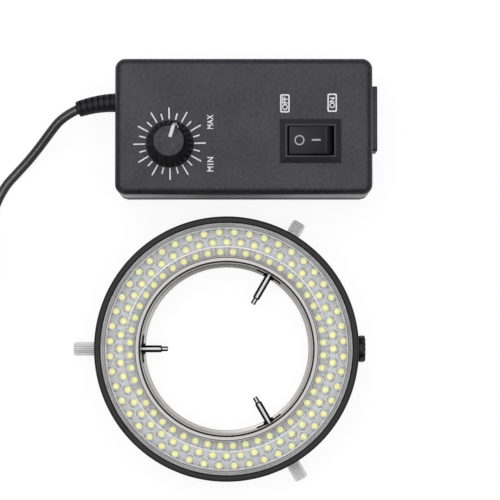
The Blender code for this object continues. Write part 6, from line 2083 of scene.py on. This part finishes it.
@dataclass
class StrainRelief:
    """The slotted boot that guides the cord out of the box.

    Attributes:
        ribs: how far round, in degrees, the solid rib on either side reaches from the middle line.
        offset: the boot's place in that wall, across and up.
        land: how much of the slots' pitch is solid at first.
        slit: how much of it a slot takes.
    """

    length: float = RELIEF_LENGTH
    root: float = 0.00342
    end: float = 0.00275
    slots: int = 6
    depth: float = 0.0009
    ribs: tuple[float, float] = (26.0, 50.0)
    wall_x: float = -0.0458
    offset: tuple[float, float] = (0.0099, 0.0160)
    drop: float = RELIEF_DROP
    sag: float = RELIEF_SAG
    land: float = 0.62
    slit: float = 0.34

    def bend(self, piece: bpy.types.Object) -> None:
        """Bends a straight piece, made along its own Z, along the boot's middle line.

        Args:
            piece: the piece.
        """
        for vert in piece.data.vertices:
            share = max(0.0, vert.co.z / self.length)
            slope = 2 * share / self.length
            x, y = vert.co.x, vert.co.y
            out = vert.co.z + (y * self.drop + x * self.sag) * slope
            vert.co = Vector((self.wall_x - out, self.offset[0] + y - self.drop * share ** 2,
                              self.offset[1] + x - self.sag * share ** 2))
        Bench.move(piece, Matrix.Translation(BOX_CENTRE))

    def build(self) -> None:
        """Turns the boot, sinks its slots between the ribs, bends it and mounts it in the wall."""
        profile: Profile = [(0.0, -0.0037), (0.0040, -0.0037), (0.0040, -0.0021), (0.0027, -0.0021), (0.0027, 0.0003),
                            (self.root - 0.0002, 0.0003), (self.root, 0.0005)]
        pitch = (self.length - 0.0006) / (self.slots + self.land)
        starts = [0.0006 + (slot + self.land) * pitch for slot in range(self.slots)]
        for start in starts:
            for level in (start, start + self.slit * pitch):
                profile.append((self.root + (self.end - self.root) * level / self.length, level))
        profile += [(self.end, self.length - 0.0003), (self.end - 0.0002, self.length), (0.0, self.length)]
        piece = Bench.lathe("relief_boot", profile, 56)
        shape = Bench.edit(piece, "FACE")
        sunk = []
        for face in shape.faces:
            middle = face.calc_center_median()
            turn = math.degrees(math.atan2(middle.x, middle.y))
            solid = abs(turn) < self.ribs[0] or abs(turn) > 180.0 - self.ribs[1]
            if not solid and any(0.0 < middle.z - start < self.slit * pitch for start in starts):
                sunk.append(face)
        Bench.choose(shape, sunk)
        bpy.ops.mesh.extrude_region_shrink_fatten(TRANSFORM_OT_shrink_fatten={"value": -self.depth})
        Bench.tidy_mesh()
        Bench.soften(piece, 0.00007, 1, 30.0)
        self.bend(piece)
        Bench.finish(piece, BOOT_BLACK, Slot.SOFT_PLASTIC, ("strain_relief",), 35.0)


@dataclass
class BackScrews:
    """The countersunk screws under the box and the ring head.

    Attributes:
        case_sizes: their shank's radius, head's radius, head's depth and length.
        collar_sizes: the same of the collar screws.
    """

    case_reach: tuple[float, float] = (0.0394, 0.01785)
    case_sizes: tuple[float, float, float, float] = (0.0012, 0.0023, 0.0012, 0.0095)
    collar_sizes: tuple[float, float, float, float] = (0.0010, 0.0017, 0.0009, 0.0038)
    sink: float = 0.0002

    def screw(self, name: str, node: str, place: Matrix, sizes: tuple[float, float, float, float]) -> None:
        """Turns a countersunk screw and cuts its cross recess.

        Args:
            name: the piece's name.
            node: the CAD node that it stands for.
            place: where it goes, its own Z pointing up into the part.
            sizes: its shank's radius, head's radius, head's depth and length.
        """
        radius, head, depth, length = sizes
        sink = self.sink
        profile = [(0.0, sink), (head - 0.0001, sink), (head, sink + 0.0001), (radius, sink + depth),
                   (radius, length - 0.0005), (radius * 0.5, length), (0.0, length)]
        piece = Bench.lathe(name, profile, 32)
        for turn in (0.0, 90.0):
            arm = Bench.slab("arm", (head * 1.15, head * 0.24, MM + depth * 0.8))
            Bench.combine(piece, arm, Matrix.Rotation(math.radians(turn), 4, "Z") @ MM_DOWN)
        Bench.finish(Bench.move(piece, place), SCREW_METAL, Slot.STEEL, (node,), 30.0)

    def build(self) -> None:
        """Makes the four case screws and the three collar screws."""
        x, y = self.case_reach
        for number, (across, up) in enumerate(((x, y), (-x, y), (-x, -y), (x, -y)), 1):
            self.screw("back_screw_%d" % number, "case_screw_%d" % number, on_box(across, up, 0.0), self.case_sizes)
        for number, angle in enumerate(COLLAR_SCREW_ANGLES, 1):
            place = about_ring(angle, COLLAR_SCREW_CIRCLE)
            self.screw("floor_screw_%d" % number, "collar_screw_%d" % number, place, self.collar_sizes)


class InnerParts:
    """The CAD nodes that stay as they are."""

    finishes: tuple[tuple[Finish, tuple[str, ...]], ...] = (
        (CASE_BLACK, ("case_back",)),
        (JACK_BLACK, ("ring_jack_body", "regulator")),
        (NICKEL_METAL, ("ring_jack_pin", "potentiometer_shaft", "potentiometer_washer", "potentiometer_nut",
                        "inlet_pin_live", "inlet_pin_neutral", "fuse")),
        (BRASS_METAL, ("switch_terminal_line", "switch_terminal_load")),
        (SCREW_METAL, ("potentiometer_body",)),
        (COPPER_METAL, ("choke",)),
        (DRIVER_GREEN, ("driver_board",)),
        (MouldedPlastic("core_tape", (0.72, 0.58, 0.10), 0.38, 0.0006, 0.00003), ("transformer",)),
        (MouldedPlastic("sleeve_blue", (0.04, 0.06, 0.16), 0.30), ("mains_capacitor", "output_capacitor")),
        (MouldedPlastic("red_vinyl", (0.45, 0.03, 0.03), 0.45), ("board_wire_positive",)),
        (MouldedPlastic("black_vinyl", (0.03, 0.03, 0.03), 0.45), ("board_wire_negative", "wire_output")),
        (MouldedPlastic("brown_vinyl", (0.20, 0.09, 0.04), 0.45), ("wire_live", "wire_switched")),
        (MouldedPlastic("blue_vinyl", (0.04, 0.12, 0.45), 0.45), ("wire_neutral",)),
    )

    def build(self, nodes: dict[str, bpy.types.Object]) -> None:
        """Paints every node that is still shown.

        Args:
            nodes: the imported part's nodes by name.
        """
        coats = {name: finish for finish, names in self.finishes for name in names}
        for name, node in sorted(nodes.items()):
            if not node.hide_render:
                node.data.materials.clear()
                node.data.materials.append(Paintshop.get(coats[name]))
                LOG.info("%s keeps its shape and is painted", name)


def main() -> None:
    """Builds the studio and every piece of the ring light."""
    logging.basicConfig(level=logging.INFO, format="%(name)s: %(message)s")
    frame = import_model()
    Studio().build()
    OutputLead().build()
    RingHead().build()
    for name, radius, share, lean in (("inner", 0.03490, 0.5, 1.5), ("middle", 0.03807, 0.0, 8.0),
                                      ("outer", 0.04167, 0.5, 8.0)):
        LampCircle(name, radius, share, lean).build()
    for side, reach in (("left", 0.0556), ("upper", 0.0530), ("lower", 0.0545)):
        ThumbScrew(side, SCREW_ANGLES[side], reach).build()
    PowerJack().build()
    DimmerCase().build()
    DialKnob().build()
    RockerSwitch().build()
    MainsInlet().build()
    StrainRelief().build()
    BackScrews().build()
    InnerParts().build(frame["nodes"])


if __name__ == "__main__":
    main()
